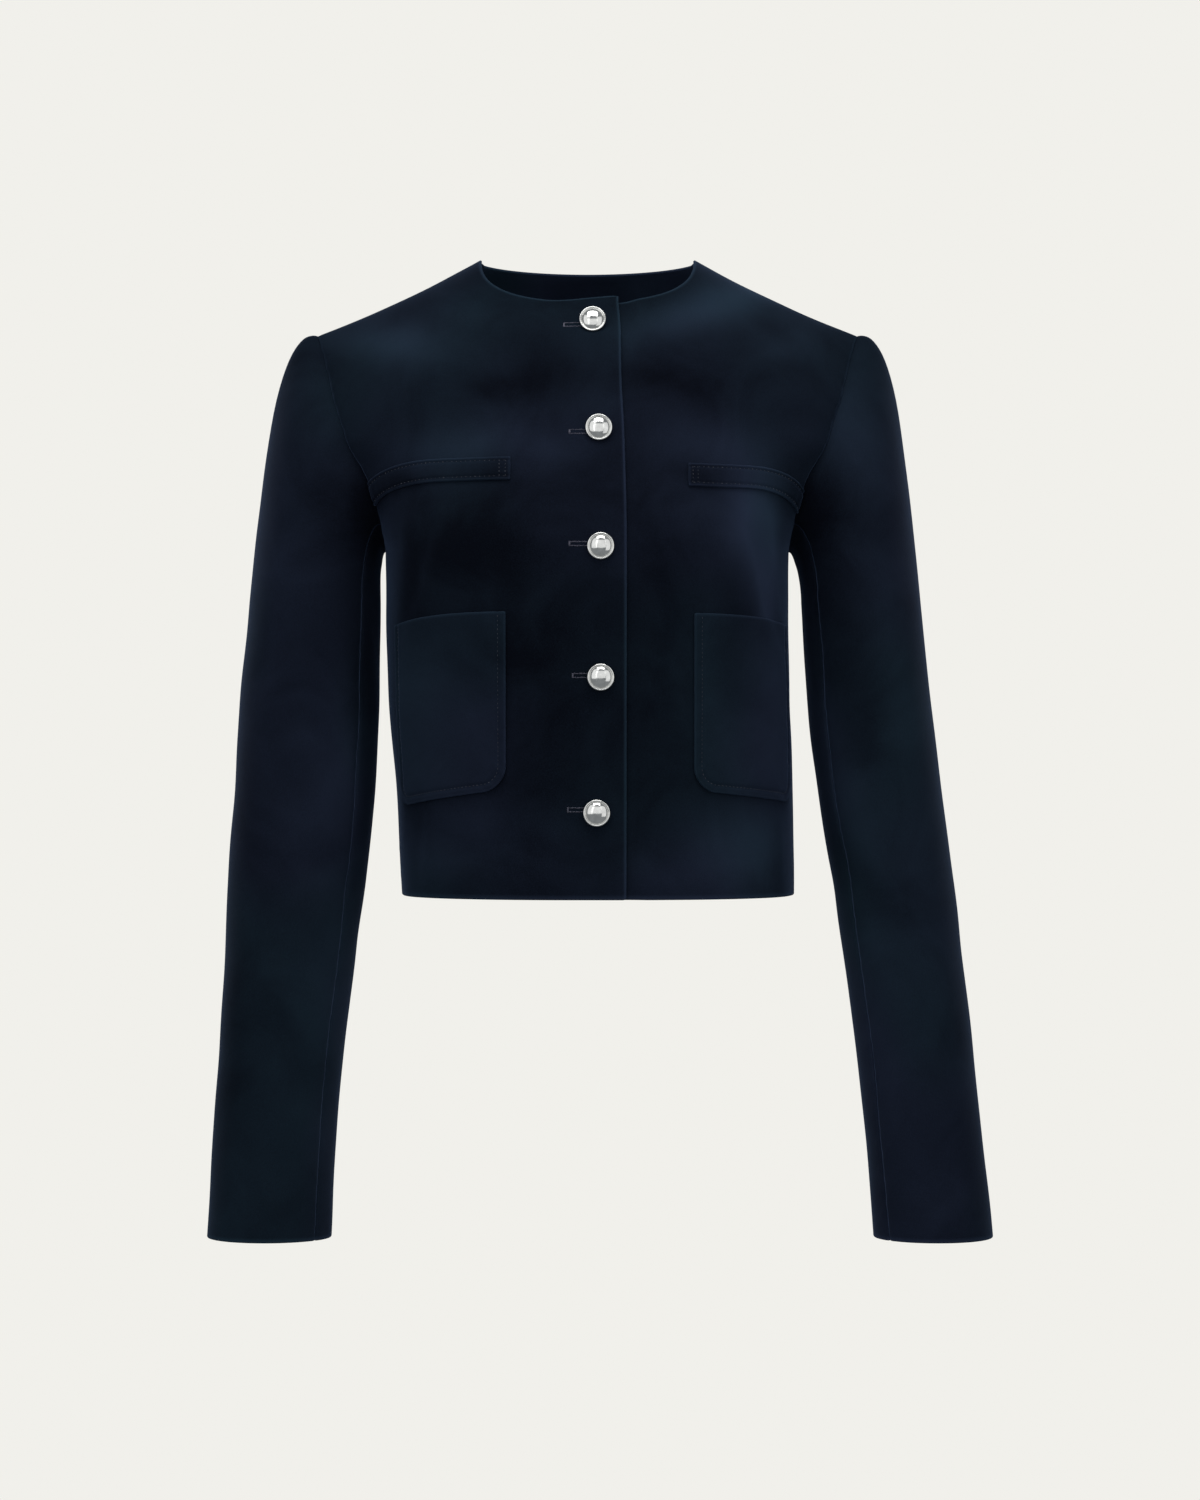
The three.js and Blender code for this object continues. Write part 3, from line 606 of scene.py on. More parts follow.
def front_panel(name, hand):
    inner_angle, inner_height = front_inner_edge(hand)
    outer_angle, outer_height = outer_edge(FRONT, hand)
    share = crowded(FRONT_COLUMNS)[None, :]
    angle = mix(inner_angle[:, None], outer_angle[:, None], share)
    height = mix(inner_height[:, None], outer_height[:, None], share)
    face = body_point(FRONT, angle, height)
    normal = body_normal(FRONT, angle, height)
    run = lengths_along(face, 1)
    rise = lengths_along(face, 0)
    across = face[:, :1, 0] + hand * run
    side = run[:, -1:] - run
    top = rise[-1:] - rise
    move = front_relief(across, face[..., 2])
    move = move * smoothstep(0, EDGE_CALM, run) + seam_dip(side, rise, 11 + hand)
    move = shoulder_seam(move, top)
    inset = lap_inset(face) if hand > 0 else np.zeros(move.shape)
    outer = lifted(face, normal, move - inset)
    inner = lifted(face, normal, move - inset - WALL)
    uv = np.stack([across, face[..., 2]], axis=-1)
    # the lie of the pile with painted highlight, sheen and shade, and a painted sheen along the front
    # edge, hem and armhole
    nap_and_painted_light = pile_and_painted_light_patches(across, face[..., 2], FRONT_PATCHES) + open_pile_and_painted_sheen(run)
    nap_and_painted_light = nap_and_painted_light + open_pile_and_painted_sheen(rise, 0.5) + open_pile_and_painted_sheen(side, 0.25, 1.6) * (face[..., 2] > ARMPIT_Z)
    return shell(name, outer, inner, (1, 0, 1, 0), uv, nap_and_painted_light, np.full(nap_and_painted_light.shape, INSIDE_NAP))


front_right = front_panel("front_right_cloth", -1)
front_left = front_panel("front_left_cloth", 1)

# %% [markdown]
# ## The back
# The back is one piece. Its rows run from armhole to armhole, and dip to the neckline on top.
# The photograph doesn't show it, so it has the long soft folds that such a back has between
# the shoulder blades and towards the waist.

# %% Back
BACK_NECK_DROP = 1
NECK_COLUMN = 0.3
NECK_DIP_REACH = 120
BACK_ROW_BUNCH = 1.35
BACK_NECK_COLUMNS = 26
BACK_SIDE_COLUMNS = 62
BACK_FOLDS = [
    (-22, -250, 7, 95, 18, 1.5, 6),
    (26, -262, -9, 88, 16, 1.3, -7),
    (-74, -228, 17, 70, 14, 1.2, 8),
    (82, -236, -15, 66, 15, 1.2, -6),
    (4, -372, 4, 60, 20, 1.0, 4),
    (-118, -214, 32, 38, 10, 1.4, 5),
    (122, -220, -30, 36, 9, 1.3, -5),
    (-60, -110, 42, 46, 16, 0.9, 6),
    (66, -114, -40, 48, 15, 0.9, -6),
    (0, -58, 88, 52, 12, 0.6, 3),
    (-96, -368, -8, 46, 13, 0.9, 3),
    (104, -360, 9, 50, 12, 0.9, -3),
]
# across and up in mm, width and height in mm, tilt in degrees, lighter or darker
BACK_PATCHES = [
    (-96, -52, 60, 18, -14, 0.3),
    (88, -44, 54, 18, 14, 0.34),
    (-20, -140, 90, 22, 5, -0.18),
    (46, -196, 60, 20, -8, 0.26),
    (-90, -230, 34, 60, 6, 0.24),
    (110, -300, 26, 70, -4, 0.3),
    (0, -330, 70, 40, 0, -0.16),
    (-70, -404, 60, 20, -4, 0.22),
    (70, -420, 50, 16, 4, 0.16),
]
# the same inside, where only the part below the neckline is seen: painted light and sheen,
# lighter at both sides, where the fronts keep most lamp light off
NECK_INSIDE_PAINTED_LIGHT = [
    (-62, -8, 28, 34, 0, 0.95),
    (60, -8, 28, 34, 0, 0.9),
    (0, -14, 44, 30, 0, 0.1),
]


def back_panel(name):
    right_angle, edge_height = outer_edge(BACK, -1)
    left_angle, _ = outer_edge(BACK, 1)
    neck = np.linspace(0, NECK_COLUMN, BACK_NECK_COLUMNS + 1)
    side = mix(NECK_COLUMN, 1, crowded(BACK_SIDE_COLUMNS, 0.3))[1:]
    half = np.append(neck, side)
    share = np.append(-half[:0:-1], half)
    out = body_point(BACK, share * left_angle[-1], 0)[:, 0] - along(LEAN, "x", 0)
    droop = BACK_NECK_DROP * (1 - (share / NECK_COLUMN) ** 2)
    dip = np.where(np.abs(share) < NECK_COLUMN, -height_at(out, -droop), 0)
    rows = np.arange(len(left_angle))
    past = np.maximum(0, rows - SIDE_STEPS) / ARMHOLE_STEPS
    even = np.where(past > 0, ARMPIT_Z * (1 - past) ** BACK_ROW_BUNCH, edge_height)
    level = mix(edge_height[:, None], even[:, None], (1 - np.abs(share[None, :])) ** 2)
    above = np.maximum(0, level + NECK_DIP_REACH)
    height = level - dip[None, :] * above / NECK_DIP_REACH
    edge_angle = np.where(share[None, :] < 0, right_angle[:, None], left_angle[:, None])
    angle = np.abs(share[None, :]) * edge_angle
    face = body_point(BACK, angle, height)
    normal = body_normal(BACK, angle, height)
    run = lengths_along(face, 1)
    rise = lengths_along(face, 0)
    middle = len(half) - 1
    across = run - run[:, middle : middle + 1]
    to_side = np.minimum(run, run[:, -1:] - run)
    top = rise[-1:] - rise
    move = folds(across, face[..., 2], BACK_FOLDS) + soft_swell(across, face[..., 2], 5, 0.4)
    move = move + seam_dip(to_side, rise, 21)
    move = shoulder_seam(move, top, np.abs(share) > NECK_COLUMN)
    outer = lifted(face, normal, move)
    inner = lifted(face, normal, move - WALL)
    uv = np.stack([across, face[..., 2]], axis=-1)
    # lighter and darker patches of pile, and a painted sheen along the hem, neck and shoulder seams
    nap_and_painted_light = pile_and_painted_light_patches(across, face[..., 2], BACK_PATCHES)
    nap_and_painted_light = nap_and_painted_light + open_pile_and_painted_sheen(rise, 0.5) + open_pile_and_painted_sheen(top, 0.6, 1.2)
    # painted light inside the back neck: a raised tone, lighter at both sides and along the top, where
    # the fronts keep most lamp light off
    inside = 0.32 + pile_and_painted_light_patches(across, face[..., 2], NECK_INSIDE_PAINTED_LIGHT)
    inside = inside + open_pile_and_painted_sheen(top, 0.3, 4)
    return shell(name, outer, inner, (1, 0.6, 0, 0), uv, nap_and_painted_light, inside)


back = back_panel("back_cloth")

# %% [markdown]
# ## The sleeves
# A two-piece sleeve is a tube of rings below the armpit. Above, each of its lengthwise lines
# leaves the armhole and bends down into the first whole ring, which gives the sleeve head.
# The top sleeve goes over the arm and the under sleeve lies against the body.

# %% Tables of the sleeves
SLEEVE = {
    "z": [-669, -600, -540, -480, -420, -360, -300, -235],
    "outerR": [262.2, 258.6, 254.6, 251.2, 248.9, 244.6, 240.8, 234.7],
    "innerR": [176.8, 173.5, 168.8, 161.1, 153.3, 147.9, 145.2, 144.5],
    "outerL": [275.9, 269, 262.9, 256.6, 249.1, 241.7, 234.6, 227.6],
    "innerL": [194, 188.2, 182.6, 174.6, 165.8, 156, 149.7, 145.6],
    "fore": [-20, -15, -10.5, -6.5, -4, -2, -1, 0],
    "deep": [38, 41, 44, 47.5, 50.5, 53, 55.5, 57],
}
HEAD = {"forward": 0.4, "rise": 0.1, "fall": 0.35, "lift": 0.5, "power": 4}
HEAD_REACH = {"low": 5, "top": 26, "power": 0.8}
HEAD_GAP = 0.1
HEAD_HANG = {"even": 0.45, "top": 0.23, "flare": 0.1}
HEAD_ROWS = 32
ALLOWANCE_ROWS = (7, 4.5, 2.2)
SLEEVE_RINGS = 168
HALF_ROUND = 84
FRONT_SEAM = 66
BACK_SEAM = 108
RING_TOP = -235
CUFF_Z = -669
# turn in degrees, height, tilt, length, width and depth in mm, bend in mm
RIGHT_FOLDS = [
    (118, -322, 20, 46, 15, 2.6, 0),
    (112, -416, 54, 36, 15, 2.8, 0),
    (232, -385, -48, 42, 16, 2.6, 0),
    (60, -268, -28, 40, 14, 1.0, 4),
    (300, -300, 26, 52, 14, 1.2, 5),
    (140, -280, 12, 34, 9, 1.3, 3),
    (88, -470, 34, 34, 12, 1.0, -3),
    (206, -440, -40, 34, 12, 1.6, 3),
    (330, -452, -34, 44, 14, 1.2, -4),
    (120, -560, 16, 46, 14, 0.9, 3),
    (30, -600, -6, 52, 16, 0.8, 3),
    (250, -520, 22, 44, 14, 1.2, 4),
    (270, -610, -12, 40, 14, 0.9, 3),
    (180, -620, 8, 40, 14, 0.8, 2),
]
LEFT_FOLDS = [
    (112, -352, 4, 70, 20, -2, 0),
    (128, -428, -38, 34, 15, 2.4, 0),
    (236, -395, 46, 42, 16, 2.6, 0),
    (62, -262, 26, 40, 14, 1.0, -4),
    (302, -292, -24, 52, 14, 1.2, -5),
    (142, -276, -12, 34, 9, 1.3, -3),
    (92, -486, -30, 36, 12, 1.0, 3),
    (210, -452, 38, 34, 12, 1.5, -3),
    (332, -440, 32, 44, 14, 1.2, 4),
    (116, -572, -14, 46, 14, 0.9, -3),
    (34, -590, 8, 50, 16, 0.8, -3),
    (254, -528, -20, 44, 14, 1.2, -4),
    (274, -616, 10, 40, 14, 0.9, -3),
    (176, -612, -6, 40, 14, 0.8, -2),
]

# turn in degrees and height, reach round and up in mm, tilt in degrees, lighter or darker
# Partly the lie of the pile, partly painted light: on both sleeves the darker patches high on the front
# of the sleeve head are painted shade, those on the inner side and over the elbow creases are painted
# light where the body shades the sleeve, and the one near the outer edge of the right sleeve is painted
# sheen.
RIGHT_PATCHES = [
    (130, -150, 40, 80, 0, -0.25),
    (60, -90, 40, 40, 0, 0.06),
    (130, -345, 24, 56, 12, 0.42),
    (104, -384, 30, 22, 50, 0.14),
    (138, -480, 30, 130, 0, 0.22),
    (70, -470, 40, 60, 0, 0.08),
    (40, -640, 60, 40, 0, 0.1),
    (24, -230, 40, 90, 0, 0.2),
    (100, -580, 40, 60, 0, 0.04),
    (270, -300, 50, 120, 0, 0.14),
    (220, -520, 50, 90, 0, 0.12),
]
LEFT_PATCHES = [
    (130, -160, 40, 70, 0, -0.3),
    (66, -130, 36, 70, 0, 0.12),
    (62, -330, 30, 110, 0, 0.26),
    (134, -352, 24, 60, -10, 0.42),
    (138, -480, 30, 130, 0, 0.3),
    (76, -100, 44, 40, 0, 0.2),
    (100, -300, 30, 60, 0, -0.1),
    (60, -520, 50, 80, 0, 0.1),
    (100, -640, 50, 30, 0, 0.12),
    (276, -320, 50, 110, 0, 0.16),
    (226, -500, 50, 90, 0, 0.1),
]

# %% Sleeves
def turned_from(turn, at):
    """How far one turn round the arm is from another, given in degrees, the shorter way."""
    return (turn - at * DEGREE + math.pi) % (2 * math.pi) - math.pi


def sleeve_patches(hand, turn, up):
    laid = RIGHT_PATCHES if hand < 0 else LEFT_PATCHES
    tone = 0
    for at, height, wide, tall, tilt, amount in laid:
        across = turned_from(turn, at) * along(SLEEVE, "deep", up)
        tone = tone + pile_and_painted_light_patches(across, up - height, [(0, 0, wide, tall, tilt, amount)])
    return tone


def fold_depth(hand, turn, z):
    """Sleeve folds, measured round the arm. They are the same all round, so turn wraps."""
    laid = RIGHT_FOLDS if hand < 0 else LEFT_FOLDS
    deep = along(SLEEVE, "deep", z)
    total = 0
    for at, height, tilt, long, wide, depth, bend in laid:
        across = turned_from(turn, at) * deep
        ridge = 0 if bend == 0 else RIDGE
        tilt = tilt * DEGREE
        length = (z - height) * math.cos(tilt) - across * math.sin(tilt)
        width = (z - height) * math.sin(tilt) + across * math.cos(tilt)
        width = width - bend * (length / long) ** 2
        shape = bell(width, wide) - ridge * bell(width - RIDGE_APART * wide, wide)
        total = total + depth * bell(length, long) * shape
    return total


def ring_point(hand, turn, z):
    letter = "R" if hand < 0 else "L"
    outer = along(SLEEVE, "outer" + letter, z)
    inner = along(SLEEVE, "inner" + letter, z)
    dent = fold_depth(hand, turn, z)
    wide = (outer - inner) / 2 - dent
    deep = along(SLEEVE, "deep", z) - dent
    x = hand * ((outer + inner) / 2 + wide * np.cos(turn))
    return np.stack([x, along(SLEEVE, "fore", z) - deep * np.sin(turn), z + 0 * turn], axis=-1)


def head_point(hand, start, turn, share):
    low = np.abs(np.sin(turn))
    high = (1 + np.cos(turn)) / 2
    forward = -HEAD["forward"] * np.sin(turn)
    up = HEAD["rise"] * high - HEAD["fall"] * low + HEAD["lift"] * (1 - high) ** HEAD["power"]
    leaving = unit(np.stack([np.full(turn.shape, float(hand)), forward, up], axis=-1))
    reach = mix(HEAD_REACH["low"], HEAD_REACH["top"], high ** HEAD_REACH["power"])[:, None]
    end = ring_point(hand, turn, np.full(turn.shape, float(RING_TOP)))
    hang = (start[:, 2] - end[:, 2]) * (
        HEAD_HANG["even"] + HEAD_HANG["top"] * np.maximum(0, np.cos(turn))
    )
    a = start + leaving * HEAD_GAP
    b = start + leaving * reach
    c = end + np.stack([-hand * hang * high * HEAD_HANG["flare"], 0 * hang, hang], axis=-1)
    t = share
    return (1 - t) ** 3 * a + 3 * t * (1 - t) ** 2 * b + 3 * t * t * (1 - t) * c + t**3 * end


def sleeve_grid(hand):
    """Rows round the arm, from the armhole down to the cuff, and the turn of each column."""
    front_spots = armhole(FRONT, hand, HALF_ROUND)
    back_spots = armhole(BACK, hand, HALF_ROUND)
    front_points = body_point(FRONT, *front_spots)[::-1]
    back_points = body_point(BACK, *back_spots)
    start = np.concatenate([front_points, back_points[1:-1]])
    inward = np.concatenate([
        body_normal(FRONT, *front_spots)[::-1],
        body_normal(BACK, *back_spots)[1:-1],
    ])
    inward = -unit(inward + np.roll(inward, 1, axis=0) + np.roll(inward, -1, axis=0))
    turn = math.pi * np.arange(2 * HALF_ROUND) / HALF_ROUND
    allowance = [start + inward * depth for depth in ALLOWANCE_ROWS]
    head = [head_point(hand, start, turn, s) for s in crowded(HEAD_ROWS, 0.5)[:-1]]
    heights = np.linspace(RING_TOP, CUFF_Z, SLEEVE_RINGS + 1)
    rings = [ring_point(hand, turn, np.full(turn.shape, z)) for z in heights]
    return np.array(allowance + head + rings), turn


def ring_normal(rows, hand):
    round_it = np.roll(rows, -1, axis=1) - np.roll(rows, 1, axis=1)
    down = np.gradient(rows, axis=0)
    return unit(np.cross(round_it, down)) * hand


def sleeve_pieces(hand, word):
    rows, turn = sleeve_grid(hand)
    normal = ring_normal(rows, hand)
    rise = lengths_along(rows, 0)
    rise = rise - rise[len(ALLOWANCE_ROWS)]
    pieces = []
    cuts = {"top": (BACK_SEAM - 2 * HALF_ROUND, FRONT_SEAM), "under": (FRONT_SEAM, BACK_SEAM)}
    for piece, (first, last) in cuts.items():
        columns = np.arange(first, last + 1) % (2 * HALF_ROUND)
        face = rows[:, columns]
        out = normal[:, columns]
        run = lengths_along(face, 1)
        side = np.minimum(run, run[:, -1:] - run)
        top = rise[:, columns]
        move = soft_swell(run, face[..., 2], 31 + hand, 0.35) * smoothstep(0, 20, top)
        move = move + seam_dip(side, top, 41 + hand, 0.7)
        move = move - 0.5 * bell(top, 2) + 0.3 * bell(top - 9, 4)
        move = move * (top > -0.1)
        outer = lifted(face, out, move)
        inner = lifted(face, out, move - WALL)
        uv = np.stack([run, -top], axis=-1)
        # the lie of the pile with painted shade, light and sheen, and a painted sheen along the cuff
        nap_and_painted_light = sleeve_patches(hand, turn[columns][None, :], face[..., 2])
        nap_and_painted_light = nap_and_painted_light + open_pile_and_painted_sheen(rise[-1:, columns] - top, 0.5)
        name = f"{piece}_sleeve_{word}_cloth"
        pieces.append(shell(name, outer, inner, (0, 1, 0, 0), uv, nap_and_painted_light, np.full(nap_and_painted_light.shape, INSIDE_NAP)))
    return pieces


top_right, under_right = sleeve_pieces(-1, "right")
top_left, under_left = sleeve_pieces(1, "left")

# %% [markdown]
# ## Patch pockets and chest welts
# They are separate layers of velvet on the fronts, made from the front's own points and moved
# out, so that they follow its curve and its folds. Their edges are turned in and so are plump,
# and a line of stitches pulls the cloth down a little.

# %% Pockets
SEWN_ON_GAP = 0.2
POCKET_WALL = 2.2
POCKET_TALL = 116
POCKET_CORNER = 15
POCKET_STITCH_IN = 4.5
POCKETS = {
    "patch_pocket_right": {"hand": -1, "x": 55.7, "top": -246, "width": 97, "fall": 7.5, "slant": 12.5},
    "patch_pocket_left": {"hand": 1, "x": 69.5, "top": -247, "width": 95, "fall": 6.5, "slant": 9},
}
# from the inner edge and the mouth in mm, width and height in mm, tilt in degrees, tone
POCKET_PATCHES = [
    (74, 50, 30, 50, 0, 0.16),
    (20, 30, 26, 40, 0, -0.08),
    (60, 100, 40, 16, 0, 0.12),
]


def walk_round(angle, height, distance):
    """The angle that lies a distance round the front from another one."""
    for _ in range(24):
        here = body_point(FRONT, angle, height)
        span = np.linalg.norm(here - body_point(FRONT, angle + 1e-3, height), axis=-1)
        angle = angle + distance / 24 * 1e-3 / span
    return angle


def pocket_spots(pocket, down, across):
    out = across / pocket["width"]
    drop = mix(pocket["fall"] * out * out, pocket["slant"] * out, down / POCKET_TALL)
    z = pocket["top"] - down - drop
    angle, height = spot_at(FRONT, pocket["hand"] * pocket["x"] + 0 * z, z)
    return walk_round(angle, height, pocket["hand"] * across), height


def pocket_face(pocket, across, down):
    """Where the pocket's cloth lies, by distance from its inner edge and from its mouth."""
    straight = POCKET_TALL - POCKET_CORNER
    angle, height = pocket_spots(pocket, down, across)
    face = body_point(FRONT, angle, height)
    normal = body_normal(FRONT, angle, height)
    from_side = np.minimum(across, pocket["width"] - across)
    corner_x = np.maximum(0, POCKET_CORNER - from_side)
    corner_y = np.maximum(0, down - straight)
    edge = np.minimum(from_side, POCKET_TALL - down)
    in_corner = (corner_x > 0) & (corner_y > 0)
    edge = np.where(in_corner, POCKET_CORNER - np.hypot(corner_x, corner_y), edge)
    dip = 0.75 * bell(edge - POCKET_STITCH_IN, 1.1)
    mouth = 0.8 * bell(down, 9) * np.sin(math.pi * across / pocket["width"])
    pucker = 0.3 * bell(edge - 3, 4) * waver(down + across, [8.3, 12.7, 19], 61)
    swell = soft_swell(across, down, 63 + pocket["hand"], 0.3) * smoothstep(0, 12, edge)
    base = front_relief(pocket["hand"] * (pocket["x"] + across), face[..., 2])
    lift = base + SEWN_ON_GAP + mouth
    return face, normal, lift, lift + POCKET_WALL - dip + pucker + swell, edge


def patch_pocket(name, pocket):
    straight = POCKET_TALL - POCKET_CORNER
    turn = np.linspace(0, 86, 18)[1:] * DEGREE
    down = np.append(crowded(44, 0.4) * straight, straight + POCKET_CORNER * np.sin(turn))
    tuck = np.append(np.zeros(45), POCKET_CORNER * (1 - np.cos(turn)))
    share = crowded(52, 0.7)[None, :]
    across = mix(tuck[:, None], pocket["width"] - tuck[:, None], share)
    down = np.repeat(down[:, None], across.shape[1], axis=1)
    face, normal, lift, top, edge = pocket_face(pocket, across, down)
    outer = lifted(face, normal, top)
    inner = lifted(face, normal, lift)
    uv = np.stack([pocket["hand"] * (pocket["x"] + across), face[..., 2]], axis=-1)
    # the pocket's own lighter tone, with a painted sheen along its edges and mouth
    nap_and_painted_light = 0.16 + pile_and_painted_light_patches(across, down, POCKET_PATCHES) + open_pile_and_painted_sheen(edge, 0.2, 0.4)
    nap_and_painted_light = nap_and_painted_light + open_pile_and_painted_sheen(down, 0.2, 0.4)
    return shell(name + "_cloth", outer, inner, (0.6, 0.6, 0.6, 0.6), uv, nap_and_painted_light)


pockets = {name: patch_pocket(name, pocket) for name, pocket in POCKETS.items()}

# %% Welts
WELT_TALL = 14.5
WELT_WALL = 1.9
WELT_STRAIGHT = 0.4
WELT_STOP = 1.6
WELT_STITCH_IN = 2
WELTS = {
    "chest_welt_right": {"hand": -1, "x": 52.5, "z": -151, "curve": 12},
    "chest_welt_left": {"hand": 1, "x": 65.5, "z": -155, "curve": 13},
}


def welt_spots(welt, share, up):
    past = np.maximum(0, share - WELT_STRAIGHT) / (1 - WELT_STRAIGHT)
    z = welt["z"] + up - welt["curve"] * past * past
    start, _ = spot_at(FRONT, welt["hand"] * welt["x"] + 0 * up, welt["z"] + up)
    end_z = welt["z"] + up - welt["curve"]
    stop = along(FRONT["armhole"], "angle", end_z) - WELT_STOP
    angle = mix(start, welt["hand"] * stop * DEGREE, share)
    out = body_point(FRONT, angle, z)[..., 0] - along(LEAN, "x", z)
    return angle, height_at(out, z)


def welt_face(welt, share, up):
    """Where the welt's cloth lies, by share of its length and height above its middle."""
    angle, height = welt_spots(welt, share, up)
    face = body_point(FRONT, angle, height)
    normal = body_normal(FRONT, angle, height)
    run = lengths_along(face, 1)
    edge = WELT_TALL / 2 - np.abs(up)
    dip = 0.6 * bell(edge - WELT_STITCH_IN, 0.8)
    crown = 0.5 * np.cos(math.pi * up / WELT_TALL)
    pucker = 0.15 * waver(run, [7.3, 11.9], 71)
    lift = front_relief(welt["hand"] * (welt["x"] + run), face[..., 2]) + SEWN_ON_GAP
    return face, normal, lift, lift + WELT_WALL - dip + crown + pucker, run


def chest_welt(name, welt):
    share = crowded(64, 0.4)[None, :]
    up = WELT_TALL * (0.5 - crowded(22, 0.5))[:, None]
    share, up = np.broadcast_arrays(share, up)
    face, normal, lift, top, run = welt_face(welt, share, up)
    outer = lifted(face, normal, top)
    inner = lifted(face, normal, lift)
    s = welt["hand"] * (welt["x"] + run)
    uv = np.stack([s, face[..., 2]], axis=-1)
    # painted highlight and shade from the front's patches, and a painted sheen along the welt's edges
    # and inner end
    nap_and_painted_light = pile_and_painted_light_patches(s, face[..., 2], FRONT_PATCHES) - 0.1
    nap_and_painted_light = nap_and_painted_light + open_pile_and_painted_sheen(WELT_TALL / 2 - np.abs(up), 0.3, 0.6) + open_pile_and_painted_sheen(run, 0.25, 0.7)
    return shell(name + "_cloth", outer, inner, (0.6, 0.6, 0.4, 0.2), uv, nap_and_painted_light)


welts = {name: chest_welt(name, welt) for name, welt in WELTS.items()}

# %% [markdown]
# ## Buttons
# A shank button of this kind is a stamped silver shell: a rolled rim, a groove and a dome. It
# is turned from a profile, as on a lathe, in shares of its radius. The domes stay plain.

# %% Buttons
BUTTON_RADIUS = 9
BUTTON_TURN = 0.6
SHANK_RADIUS = 2.4
SHANK_LONG = 0.85
BUTTON_ROUND = 72
BUTTONS = {
    "button_1": (1.9, -50, 2.29),
    "button_2": (6, -124.3, 1.66),
    "button_3": (7.4, -202.6, 0.44),
    "button_4": (7.4, -288.7, 0.67),
    "button_5": (4.7, -378.2, 0.62),
}
# distance from the middle and height, from the back round the rim to the top of the dome
BUTTON_PROFILE = [
    (0, 0), (0.5, 0), (0.82, 0), (0.92, 0.03), (0.975, 0.085), (1, 0.16), (1, 0.22),
    (0.985, 0.28), (0.95, 0.32), (0.905, 0.325), (0.87, 0.3), (0.85, 0.265), (0.83, 0.255),
    (0.81, 0.27), (0.78, 0.31), (0.73, 0.362), (0.66, 0.413), (0.58, 0.455), (0.48, 0.495),
    (0.36, 0.528), (0.24, 0.549), (0.12, 0.559), (0, 0.562),
]


def button(name, x, z, lift):
    """A button hangs on its shank, so it turns part of the way to straight ahead."""
    angle, height = spot_at(FRONT, np.array(float(x)), np.array(float(z)))
    outward = body_normal(FRONT, angle, height)
    centre = body_point(FRONT, angle, height) + outward * lift
    outward = unit(mix(outward, np.array([0, -1.0, 0]), BUTTON_TURN))
    shank = [(0, -SHANK_LONG * lift), (SHANK_RADIUS, -SHANK_LONG * lift), (SHANK_RADIUS, 0)]
    sideways = unit(np.cross(np.array([0, 0, 1.0]), outward))
    upward = np.cross(outward, sideways)
    turn = 2 * math.pi * np.arange(BUTTON_ROUND) / BUTTON_ROUND
    spoke = np.cos(turn)[:, None] * sideways + np.sin(turn)[:, None] * upward
    profile = np.concatenate([np.array(shank), np.array(BUTTON_PROFILE[1:]) * BUTTON_RADIUS])
    points = [centre + outward * profile[0, 1]]
    for out, up in profile[1:-1]:
        points.extend(centre + spoke * out + outward * up)
    points.append(centre + outward * profile[-1, 1])
    faces = []
    last = len(points) - 1
    top = last - BUTTON_ROUND
    for a in range(BUTTON_ROUND):
        b = (a + 1) % BUTTON_ROUND
        faces.append((0, 1 + b, 1 + a))
        faces.append((last, top + a, top + b))
    for k in range(len(profile) - 3):
        faces.extend(ring_quads(1 + k * BUTTON_ROUND, BUTTON_ROUND))
    return new_mesh(name + "_metal", np.array(points), faces)


buttons = {name: button(name, *place) for name, place in BUTTONS.items()}
print("buttons", len(buttons))

# %% [markdown]
# ## Velvet
# Velvet is dark where the eye looks down into the pile, and lighter where it looks across it.
# The shader's sheen gives that light rim, and it is set on the shader itself. What changes over
# the surface comes from a node group: where the pile lies this way or that way, and where painted
# highlight, sheen and shade are laid on the mesh, the colour goes lighter or darker, and a very
# fine grain stands for the tips of the pile.

# %% Node helpers
def new_material(name):
    material = bpy.data.materials.new(name)
    material.use_nodes = True
    tree = material.node_tree
    return material, tree, tree.nodes["Principled BSDF"]


def new_group(name, inputs, outputs):
    """An empty node group with named sockets, given as {name: (type, default)}."""
    group = bpy.data.node_groups.new(name, "ShaderNodeTree")
    for label, (kind, default) in inputs.items():
        socket = group.interface.new_socket(label, in_out="INPUT", socket_type=kind)
        socket.default_value = default
    for label, kind in outputs.items():
        group.interface.new_socket(label, in_out="OUTPUT", socket_type=kind)
    return group, group.nodes.new("NodeGroupInput"), group.nodes.new("NodeGroupOutput")


def noise(tree, vector, scale, detail=2, roughness=0.5, distortion=0):
    node = tree.nodes.new("ShaderNodeTexNoise")
    tree.links.new(vector, node.inputs["Vector"])
    if isinstance(scale, (int, float)):
        node.inputs["Scale"].default_value = scale
    else:
        tree.links.new(scale, node.inputs["Scale"])
    node.inputs["Detail"].default_value = detail
    node.inputs["Roughness"].default_value = roughness
    node.inputs["Distortion"].default_value = distortion
    return node.outputs["Fac"]


def reshape(tree, value, low, high, to_low, to_high):
    node = tree.nodes.new("ShaderNodeMapRange")
    tree.links.new(value, node.inputs["Value"])
    node.inputs["From Min"].default_value = low
    node.inputs["From Max"].default_value = high
    node.inputs["To Min"].default_value = to_low
    node.inputs["To Max"].default_value = to_high
    return node.outputs["Result"]


def blend(tree, share, one, two):
    node = tree.nodes.new("ShaderNodeMix")
    node.data_type = "RGBA"
    tree.links.new(share, node.inputs["Factor"])
    for socket, value in ((node.inputs[6], one), (node.inputs[7], two)):
        if isinstance(value, tuple):
            socket.default_value = value
        else:
            tree.links.new(value, socket)
    return node.outputs[2]


